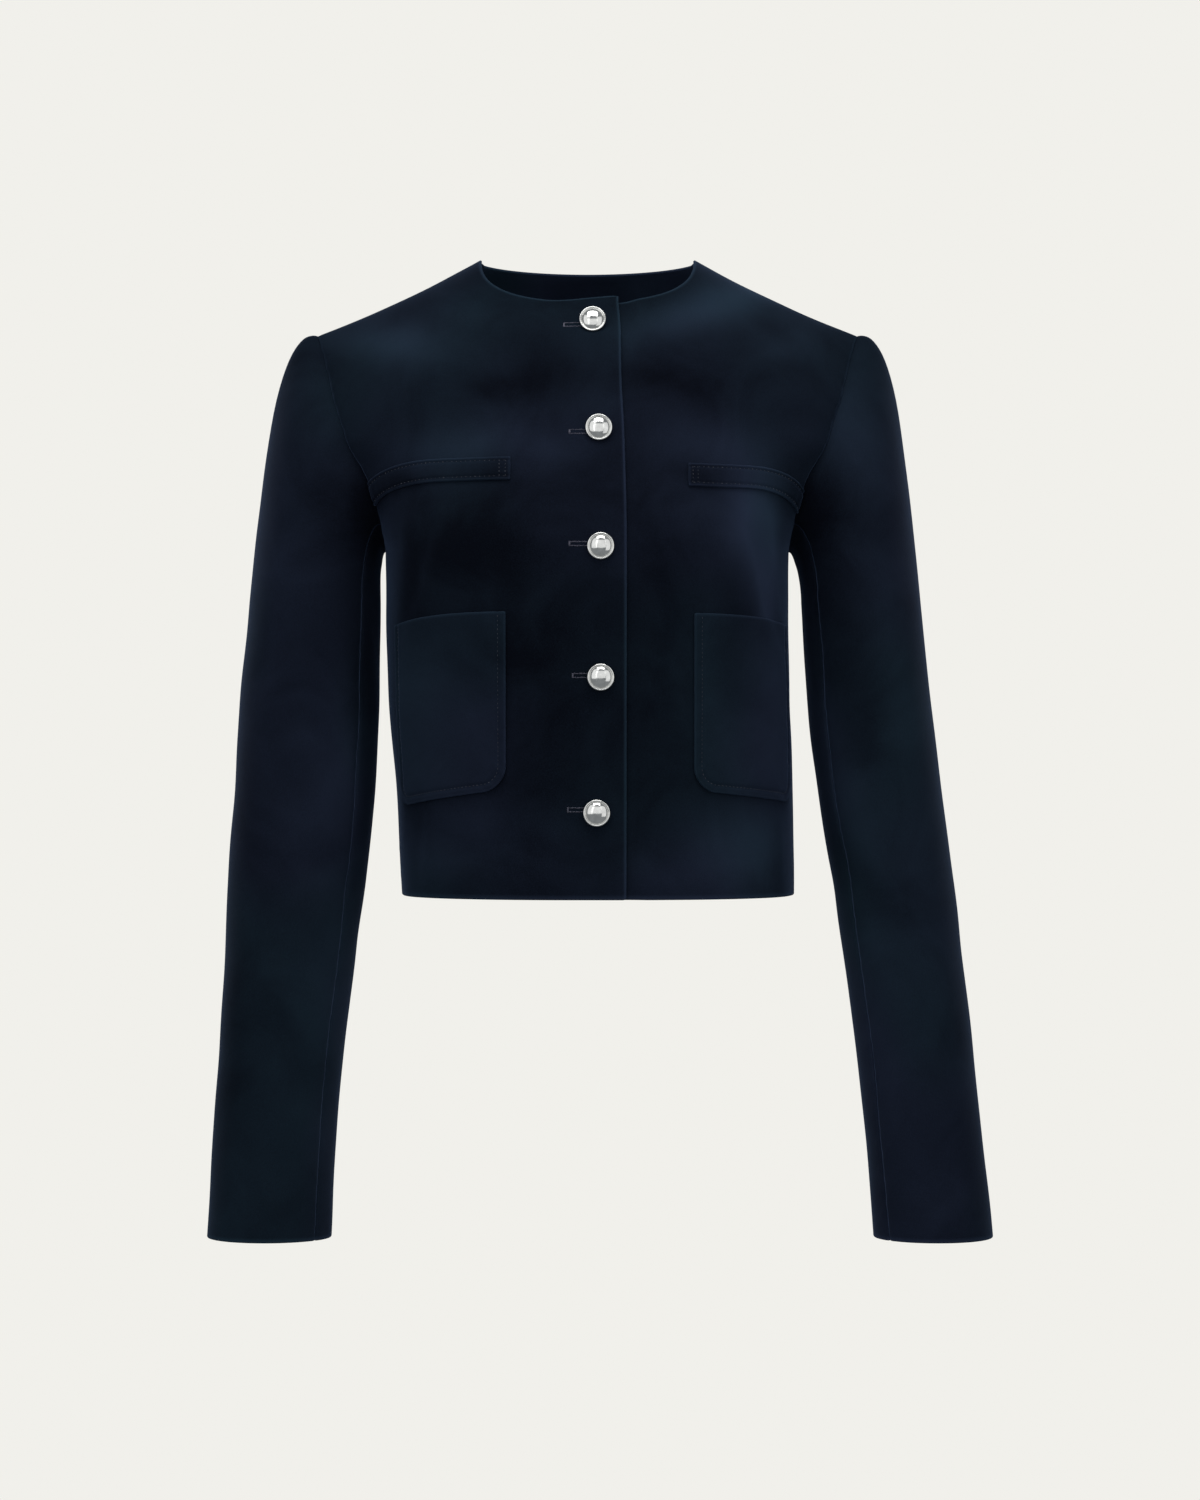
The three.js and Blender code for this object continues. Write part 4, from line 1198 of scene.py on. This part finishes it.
def add_bump(tree, shader, height, strength, distance):
    node = tree.nodes.new("ShaderNodeBump")
    node.inputs["Strength"].default_value = strength
    node.inputs["Distance"].default_value = distance
    tree.links.new(height, node.inputs["Height"])
    tree.links.new(node.outputs["Normal"], shader.inputs["Normal"])


def plus(tree, one, two):
    node = tree.nodes.new("ShaderNodeMath")
    node.operation = "ADD"
    node.use_clamp = True
    tree.links.new(one, node.inputs[0])
    tree.links.new(two, node.inputs[1])
    return node.outputs[0]

# %% Pile
pile, given, made = new_group(
    "pile",
    {
        "Nap And Painted Light": ("NodeSocketFloat", 0.0),
        "Down The Pile": ("NodeSocketColor", (0.004, 0.006, 0.013, 1)),
        "Across The Pile": ("NodeSocketColor", (0.012, 0.019, 0.037, 1)),
        "Across The Pile, Greener": ("NodeSocketColor", (0.01, 0.022, 0.034, 1)),
        "Nap Scale": ("NodeSocketFloat", 14.0),
        "Tip Scale": ("NodeSocketFloat", 1500.0),
    },
    {"Color": "NodeSocketColor", "Roughness": "NodeSocketFloat", "Height": "NodeSocketFloat"},
)
place = pile.nodes.new("ShaderNodeTexCoord").outputs["Object"]
brushed = noise(pile, place, given.outputs["Nap Scale"], 3, 0.55, 0.6)
tips = noise(pile, place, given.outputs["Tip Scale"], 2, 0.6)
# Nap brings the lie of the pile together with the painted highlight, sheen and shade on the mesh
lay = plus(pile, reshape(pile, brushed, 0.3, 0.75, 0.12, 0.38), given.outputs["Nap And Painted Light"])
grain = reshape(pile, tips, 0.35, 0.7, -0.06, 0.1)
lay = plus(pile, lay, grain)
drift = reshape(pile, noise(pile, place, 6, 1), 0.4, 0.6, 0, 1)
one_way = given.outputs["Across The Pile"]
lighter = blend(pile, drift, one_way, given.outputs["Across The Pile, Greener"])
colour = blend(pile, lay, given.outputs["Down The Pile"], lighter)
pile.links.new(colour, made.inputs["Color"])
pile.links.new(reshape(pile, tips, 0.3, 0.7, 0.82, 0.98), made.inputs["Roughness"])
pile.links.new(tips, made.inputs["Height"])
print("pile group:", len(pile.nodes), "nodes")

# %% Velvet material
def velvet_material(name, dark, light, greener, nap_scale, sheen):
    material, tree, shader = new_material(name)
    group = tree.nodes.new("ShaderNodeGroup")
    group.node_tree = pile
    group.inputs["Down The Pile"].default_value = (*dark, 1)
    group.inputs["Across The Pile"].default_value = (*light, 1)
    group.inputs["Across The Pile, Greener"].default_value = (*greener, 1)
    group.inputs["Nap Scale"].default_value = nap_scale
    # the mesh attribute read here holds the lie of the pile and painted highlight, sheen and shade
    nap_and_painted_light = tree.nodes.new("ShaderNodeAttribute")
    nap_and_painted_light.attribute_name = "nap_and_painted_light"
    links = tree.links
    links.new(nap_and_painted_light.outputs["Fac"], group.inputs["Nap And Painted Light"])
    links.new(group.outputs["Color"], shader.inputs["Base Color"])
    links.new(group.outputs["Roughness"], shader.inputs["Roughness"])
    add_bump(tree, shader, group.outputs["Height"], 0.5, 0.00025)
    shader.inputs["Specular IOR Level"].default_value = 0.02
    shader.inputs["Sheen Weight"].default_value = sheen
    shader.inputs["Sheen Roughness"].default_value = 0.35
    shader.inputs["Sheen Tint"].default_value = (0.22, 0.34, 0.62, 1)
    return material


NAVY_DARK = (0.0014, 0.002, 0.0041)
NAVY_LIGHT = (0.0135, 0.0195, 0.037)
NAVY_GREENER = (0.0105, 0.0215, 0.033)
velvet = velvet_material("velvet", NAVY_DARK, NAVY_LIGHT, NAVY_GREENER, 16, 0.14)

# %% Silver
silver, tree, shader = new_material("silver")
place = tree.nodes.new("ShaderNodeTexCoord").outputs["Object"]
smear = noise(tree, place, 260, 3, 0.6, 0.4)
scratch = noise(tree, place, 2600, 2, 0.5)
clouds = reshape(tree, smear, 0.35, 0.7, 0, 1)
tint = blend(tree, clouds, (0.5, 0.5, 0.485, 1), (0.62, 0.62, 0.6, 1))
tree.links.new(tint, shader.inputs["Base Color"])
tree.links.new(reshape(tree, smear, 0.3, 0.75, 0.08, 0.17), shader.inputs["Roughness"])
add_bump(tree, shader, scratch, 0.08, 0.00005)
shader.inputs["Metallic"].default_value = 1

# %% [markdown]
# ## Stitches
# The pockets are topstitched a few millimetres in from their edges, small prick stitches hold
# the welts, and each buttonhole is worked in a greyer thread with a bar at its end. All of it is
# one small stitch laid over and over along a line. Geometry Nodes do that: one tree puts a
# stitch on every point of a line, turns it along the line and square to the cloth, and makes
# each one a little different, because thread sinks unevenly into a pile.

# %% Thread
def thread_material(name, dark, light):
    material, tree, shader = new_material(name)
    place = tree.nodes.new("ShaderNodeTexCoord").outputs["Object"]
    strand = noise(tree, place, 3200, 2, 0.6)
    worn = noise(tree, place, 420, 2, 0.5)
    tone = blend(tree, reshape(tree, worn, 0.35, 0.7, 0, 1), (*dark, 1), (*light, 1))
    tree.links.new(tone, shader.inputs["Base Color"])
    tree.links.new(reshape(tree, strand, 0.3, 0.7, 0.62, 0.85), shader.inputs["Roughness"])
    add_bump(tree, shader, strand, 0.4, 0.0001)
    shader.inputs["Sheen Weight"].default_value = 0.1
    return material


navy_thread = thread_material("navy_thread", (0.004, 0.006, 0.012), (0.02, 0.025, 0.042))
grey_thread = thread_material("buttonhole_thread", (0.03, 0.031, 0.052), (0.075, 0.073, 0.105))

# %% One stitch
STITCH_SIDES = 6
# along it, thickness there, and how far it bows up
STITCH_RINGS = [(-0.5, 0.4, -0.5), (-0.3, 0.9, 0.05), (0, 1, 0.2), (0.3, 0.9, 0.05), (0.5, 0.4, -0.5)]


def one_stitch():
    turn = 2 * math.pi * np.arange(STITCH_SIDES) / STITCH_SIDES
    points = []
    for x, thick, up in STITCH_RINGS:
        points += [(x, thick / 2 * math.cos(t), up + thick / 2 * math.sin(t)) for t in turn]
    faces = [tuple(range(STITCH_SIDES - 1, -1, -1))]
    for ring in range(len(STITCH_RINGS) - 1):
        faces.extend(ring_quads(ring * STITCH_SIDES, STITCH_SIDES))
    last = (len(STITCH_RINGS) - 1) * STITCH_SIDES
    faces.append(tuple(range(last, last + STITCH_SIDES)))
    return new_mesh("one_stitch", np.array(points) / MM, faces)


stitch = one_stitch()

# %% Tree that lays stitches along a line
laying = bpy.data.node_groups.new("lay_stitches", "GeometryNodeTree")
sockets = {}
for label, kind in (
    ("Line", "NodeSocketGeometry"),
    ("Stitch", "NodeSocketObject"),
    ("Length", "NodeSocketFloat"),
    ("Thickness", "NodeSocketFloat"),
    ("Unevenness", "NodeSocketFloat"),
    ("Seed", "NodeSocketInt"),
    ("Thread", "NodeSocketMaterial"),
):
    sockets[label] = laying.interface.new_socket(label, in_out="INPUT", socket_type=kind)
laying.interface.new_socket("Stitches", in_out="OUTPUT", socket_type="NodeSocketGeometry")


def laying_node(kind, **links):
    node = laying.nodes.new(kind)
    for socket, source in links.items():
        laying.links.new(source, node.inputs[socket.replace("_", " ")])
    return node


def direction(name):
    node = laying_node("GeometryNodeInputNamedAttribute")
    node.data_type = "FLOAT_VECTOR"
    node.inputs["Name"].default_value = name
    return node.outputs["Attribute"]


def times(one, two):
    node = laying.nodes.new("ShaderNodeMath")
    node.operation = "MULTIPLY"
    laying.links.new(one, node.inputs[0])
    laying.links.new(two, node.inputs[1])
    return node.outputs[0]


given = laying.nodes.new("NodeGroupInput").outputs
model = laying_node("GeometryNodeObjectInfo", Object=given["Stitch"])
ahead = laying_node("FunctionNodeAlignRotationToVector", Vector=direction("forward"))
ahead.axis = "X"
square = laying_node(
    "FunctionNodeAlignRotationToVector", Rotation=ahead.outputs[0], Vector=direction("outward")
)
square.axis = "Z"
square.pivot_axis = "X"
less = laying.nodes.new("ShaderNodeMath")
less.operation = "SUBTRACT"
less.inputs[0].default_value = 1
laying.links.new(given["Unevenness"], less.inputs[1])
chance = laying.nodes.new("FunctionNodeRandomValue")
chance.data_type = "FLOAT"
laying.links.new(less.outputs[0], chance.inputs[2])
chance.inputs[3].default_value = 1
laying.links.new(given["Seed"], chance.inputs["Seed"])
even = chance.outputs[1]
scale = laying_node(
    "ShaderNodeCombineXYZ",
    X=times(given["Length"], even),
    Y=times(given["Thickness"], even),
    Z=given["Thickness"],
)
placed = laying_node(
    "GeometryNodeInstanceOnPoints",
    Points=given["Line"],
    Instance=model.outputs["Geometry"],
    Rotation=square.outputs[0],
    Scale=scale.outputs[0],
)
real = laying_node("GeometryNodeRealizeInstances", Geometry=placed.outputs[0])
threaded = laying_node("GeometryNodeSetMaterial", Geometry=real.outputs[0], Material=given["Thread"])
laying.links.new(threaded.outputs[0], laying.nodes.new("NodeGroupOutput").inputs[0])
print("stitch tree:", len(laying.nodes), "nodes")

# %% Lay stitches
def spaced(points, outward, spacing, crosswise=False):
    """Places at even steps along a line of points, with the way each stitch lies."""
    length = np.append(0, np.cumsum(np.linalg.norm(np.diff(points, axis=0), axis=1)))
    count = max(1, round(length[-1] / spacing))
    at = (np.arange(count) + 0.5) * length[-1] / count
    place = np.stack([np.interp(at, length, points[:, k]) for k in range(3)], axis=-1)
    out = unit(np.stack([np.interp(at, length, outward[:, k]) for k in range(3)], axis=-1))
    step = np.gradient(points, axis=0)
    ahead = unit(np.stack([np.interp(at, length, step[:, k]) for k in range(3)], axis=-1))
    return place, unit(np.cross(out, ahead)) if crosswise else ahead, out


def lay_stitches(name, lines, length, thickness, unevenness, seed, thread):
    """Turns lines of places into one plain mesh of stitches. Sizes are in mm."""
    place, ahead, out = (np.concatenate(part) for part in zip(*lines))
    line = new_mesh(name + "_line", place, [])
    for label, value in (("forward", ahead), ("outward", out)):
        attribute = line.data.attributes.new(label, "FLOAT_VECTOR", "POINT")
        attribute.data.foreach_set("vector", value.astype(np.float32).ravel())
    modifier = line.modifiers.new("stitches", "NODES")
    modifier.node_group = laying
    values = {
        "Stitch": stitch,
        "Length": length * MM,
        "Thickness": thickness * MM,
        "Unevenness": unevenness,
        "Seed": seed,
        "Thread": thread,
    }
    for label, value in values.items():
        modifier[sockets[label].identifier] = value
    made = line.evaluated_get(bpy.context.evaluated_depsgraph_get())
    mesh = bpy.data.meshes.new_from_object(made)
    piece = bpy.data.objects.new(name, mesh)
    bpy.context.collection.objects.link(piece)
    bpy.data.objects.remove(line)
    print(name, len(place), "stitches,", len(mesh.polygons), "faces")
    return piece

# %% Lines of stitches on the pockets and welts
THREAD_SUNK = 0.05
POCKET_STITCH_APART = 2.9
WELT_STITCH_APART = 3.4
WELT_END_APART = 2.4


def pocket_line(pocket):
    inset = POCKET_STITCH_IN
    wide = pocket["width"]
    radius = POCKET_CORNER - inset
    turn = np.linspace(0, math.pi / 2, 9)
    straight = np.linspace(1, POCKET_TALL - POCKET_CORNER, 60)
    middle = np.linspace(POCKET_CORNER, wide - POCKET_CORNER, 50)[1:-1]
    low = POCKET_TALL - POCKET_CORNER
    bend = POCKET_CORNER - radius * np.cos(turn)
    across = np.concatenate([
        np.full(60, inset), bend, middle, wide - bend[::-1], np.full(60, wide - inset)
    ])
    down = np.concatenate([
        straight,
        low + radius * np.sin(turn),
        np.full(len(middle), low + radius),
        low + radius * np.sin(turn[::-1]),
        straight[::-1],
    ])
    face, normal, _, top, _ = pocket_face(pocket, across, down)
    return lifted(face, normal, top - THREAD_SUNK), normal


def welt_line(welt, up):
    share = np.linspace(0.015, 0.985, 90)[None, :]
    face, normal, _, top, _ = welt_face(welt, share, np.full(share.shape, up))
    return lifted(face, normal, top - THREAD_SUNK)[0], normal[0]


def welt_end_line(welt, share):
    up = np.linspace(0.42, -0.42, 12)[:, None] * WELT_TALL
    up = np.repeat(up, 2, axis=1)
    share = np.repeat([[0, share]], len(up), axis=0)
    face, normal, _, top, _ = welt_face(welt, share, up)
    return lifted(face, normal, top - THREAD_SUNK)[:, 1], normal[:, 1]


topstitch = {}
for word, seed in (("right", 5), ("left", 6)):
    welt = WELTS["chest_welt_" + word]
    lines = [spaced(*pocket_line(POCKETS["patch_pocket_" + word]), POCKET_STITCH_APART)]
    on_pocket = lay_stitches("pocket_stitches_" + word, lines, 2, 0.42, 0.2, seed, navy_thread)
    lines = [spaced(*welt_line(welt, up), WELT_STITCH_APART) for up in (5.4, -5.4)]
    lines += [spaced(*welt_end_line(welt, share), WELT_END_APART) for share in (0.02, 0.05)]
    on_welt = lay_stitches("welt_stitches_" + word, lines, 1.4, 0.5, 0.3, seed + 10, navy_thread)
    topstitch[word] = {"pocket": on_pocket, "welt": on_welt}

# %% Buttonholes
# left end, right end and height
BUTTONHOLES = [
    (-17.2, 1.5, -51.6),
    (-13.2, 5.5, -126.3),
    (-13.1, 7, -201.2),
    (-11, 7, -287.7),
    (-14.2, 4.5, -376.2),
]
BUTTONHOLE_APART = 2.6


def on_front(x, z):
    """Places on the right front's outer face, near the front edge."""
    angle, height = spot_at(FRONT, x, z)
    normal = body_normal(FRONT, angle, height)
    relief = front_relief(x, z) * smoothstep(0, EDGE_CALM, along(FRONT_EDGE, "x", z) - x)
    return lifted(body_point(FRONT, angle, height), normal, relief), normal


rows = []
bars = []
for left, right, z in BUTTONHOLES:
    x = np.linspace(left, right, 30)
    for side in (-1, 1):
        height = z + side * BUTTONHOLE_APART / 2 + 0.1 * waver(x, [3.1, 5.3], 81)
        rows.append(spaced(*on_front(x, height), 0.55, True))
    x = np.linspace(left - 0.6, left + 0.5, 6)
    bars.append(spaced(*on_front(x, np.full(x.shape, z)), 0.5, True))
buttonholes = lay_stitches("buttonhole_edges", rows, 1.1, 0.4, 0.35, 3, grey_thread)
buttonhole_bars = lay_stitches("buttonhole_bars", bars, 4.4, 0.5, 0.1, 4, grey_thread)
bpy.data.objects.remove(stitch)

# %% Fix the pieces to the frame
CLOTH = {
    "front_right": (front_right, (0.25, 0.45), 0.097),
    "front_left": (front_left, (0.25, 0.45), 0.092),
    "back": (back, (0.44, 0.46), 0.175),
    "top_sleeve_right": (top_right, (0.25, 0.63), 0.124),
    "under_sleeve_right": (under_right, (0.085, 0.5), 0.036),
    "top_sleeve_left": (top_left, (0.25, 0.63), 0.119),
    "under_sleeve_left": (under_left, (0.085, 0.5), 0.036),
}


def fix(piece, material, node):
    """Gives a piece its material and puts it in the place of its node."""
    piece.data.materials.append(material)
    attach(piece, "root")
    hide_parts(node)


threads = [piece for sewn in topstitch.values() for piece in sewn.values()]
for piece in [*threads, buttonholes, buttonhole_bars]:
    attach(piece, "root")
for node, (piece, flat, area) in CLOTH.items():
    fix(piece, velvet, node)
for node, piece in {**pockets, **welts}.items():
    fix(piece, velvet, node)
    word = "right" if "right" in node else "left"
for node, piece in buttons.items():
    fix(piece, silver, node)

# %% [markdown]
# ## Studio
# A pale floor sweeps up all round into a backdrop of the same tone, so no horizon shows from
# any side. The light is soft: three wide panels in front, one overhead, a dim one behind, and two
# that graze the sleeves from behind, because velvet shows itself by the light along its edges.

# %% Floor and backdrop
BACKDROP = (0.879, 0.871, 0.831)
FLOOR_Z = -1.0
SWEEP = [(0, 0), (3.4, 0), (4.0, 0.08), (4.5, 0.3), (4.85, 0.65), (5.05, 1.1), (5.1, 1.7), (5.1, 5)]
SWEEP_ROUND = 96

turn = 2 * math.pi * np.arange(SWEEP_ROUND) / SWEEP_ROUND
points = [[0, 0, FLOOR_Z]]
for out, up in SWEEP[1:]:
    points += [[out * math.cos(t), out * math.sin(t), FLOOR_Z + up] for t in turn]
faces = [(0, 1 + k, 1 + (k + 1) % SWEEP_ROUND) for k in range(SWEEP_ROUND)]
for row in range(len(SWEEP) - 2):
    faces.extend(quad[::-1] for quad in ring_quads(1 + row * SWEEP_ROUND, SWEEP_ROUND))
sweep = new_mesh("sweep", np.array(points) / MM, faces)
pale, tree, shader = new_material("pale_floor")
shader.inputs["Base Color"].default_value = (0, 0, 0, 1)
shader.inputs["Specular IOR Level"].default_value = 0
shader.inputs["Emission Color"].default_value = (*BACKDROP, 1)
shader.inputs["Emission Strength"].default_value = 1
sweep.data.materials.append(pale)
sweep.visible_diffuse = False
sweep.visible_glossy = False
sweep.visible_shadow = False

# %% Light
world = bpy.data.worlds.new("studio")
bpy.context.scene.world = world
world.use_nodes = True
air = world.node_tree.nodes["Background"]
air.inputs["Color"].default_value = (0.9, 0.95, 1, 1)
air.inputs["Strength"].default_value = 0.35
bpy.context.scene.view_settings.view_transform = "Standard"


def panel_light(name, place, target, size, power):
    light = bpy.data.lights.new(name, "AREA")
    light.shape = "RECTANGLE"
    light.size, light.size_y = size
    light.energy = power
    lamp = bpy.data.objects.new(name, light)
    ahead = np.array(target, float) - np.array(place, float)
    yaw = math.atan2(ahead[1], ahead[0]) - math.pi / 2
    pitch = math.atan2(ahead[2], math.hypot(ahead[0], ahead[1])) + math.pi / 2
    lamp.location = place
    lamp.rotation_euler = (pitch, 0, yaw)
    bpy.context.collection.objects.link(lamp)


CHEST = (0, 0, -0.3)
panel_light("front_left", (-1.7, -1.9, 0.7), CHEST, (2.4, 3.2), 24)
panel_light("front_right", (1.9, -1.6, 0.1), CHEST, (2.2, 3.2), 20)
panel_light("front", (0, -3.2, 0.5), CHEST, (3.2, 2.4), 22)
panel_light("overhead", (0, -0.9, 1.6), CHEST, (1.6, 1.2), 30)
panel_light("behind_left", (-1.5, 1.3, 0.2), CHEST, (0.7, 1.6), 11)
panel_light("behind_right", (1.5, 1.3, 0.2), CHEST, (0.7, 1.6), 11)
panel_light("behind", (0, 3.2, 0.6), CHEST, (3.2, 2.4), 16)
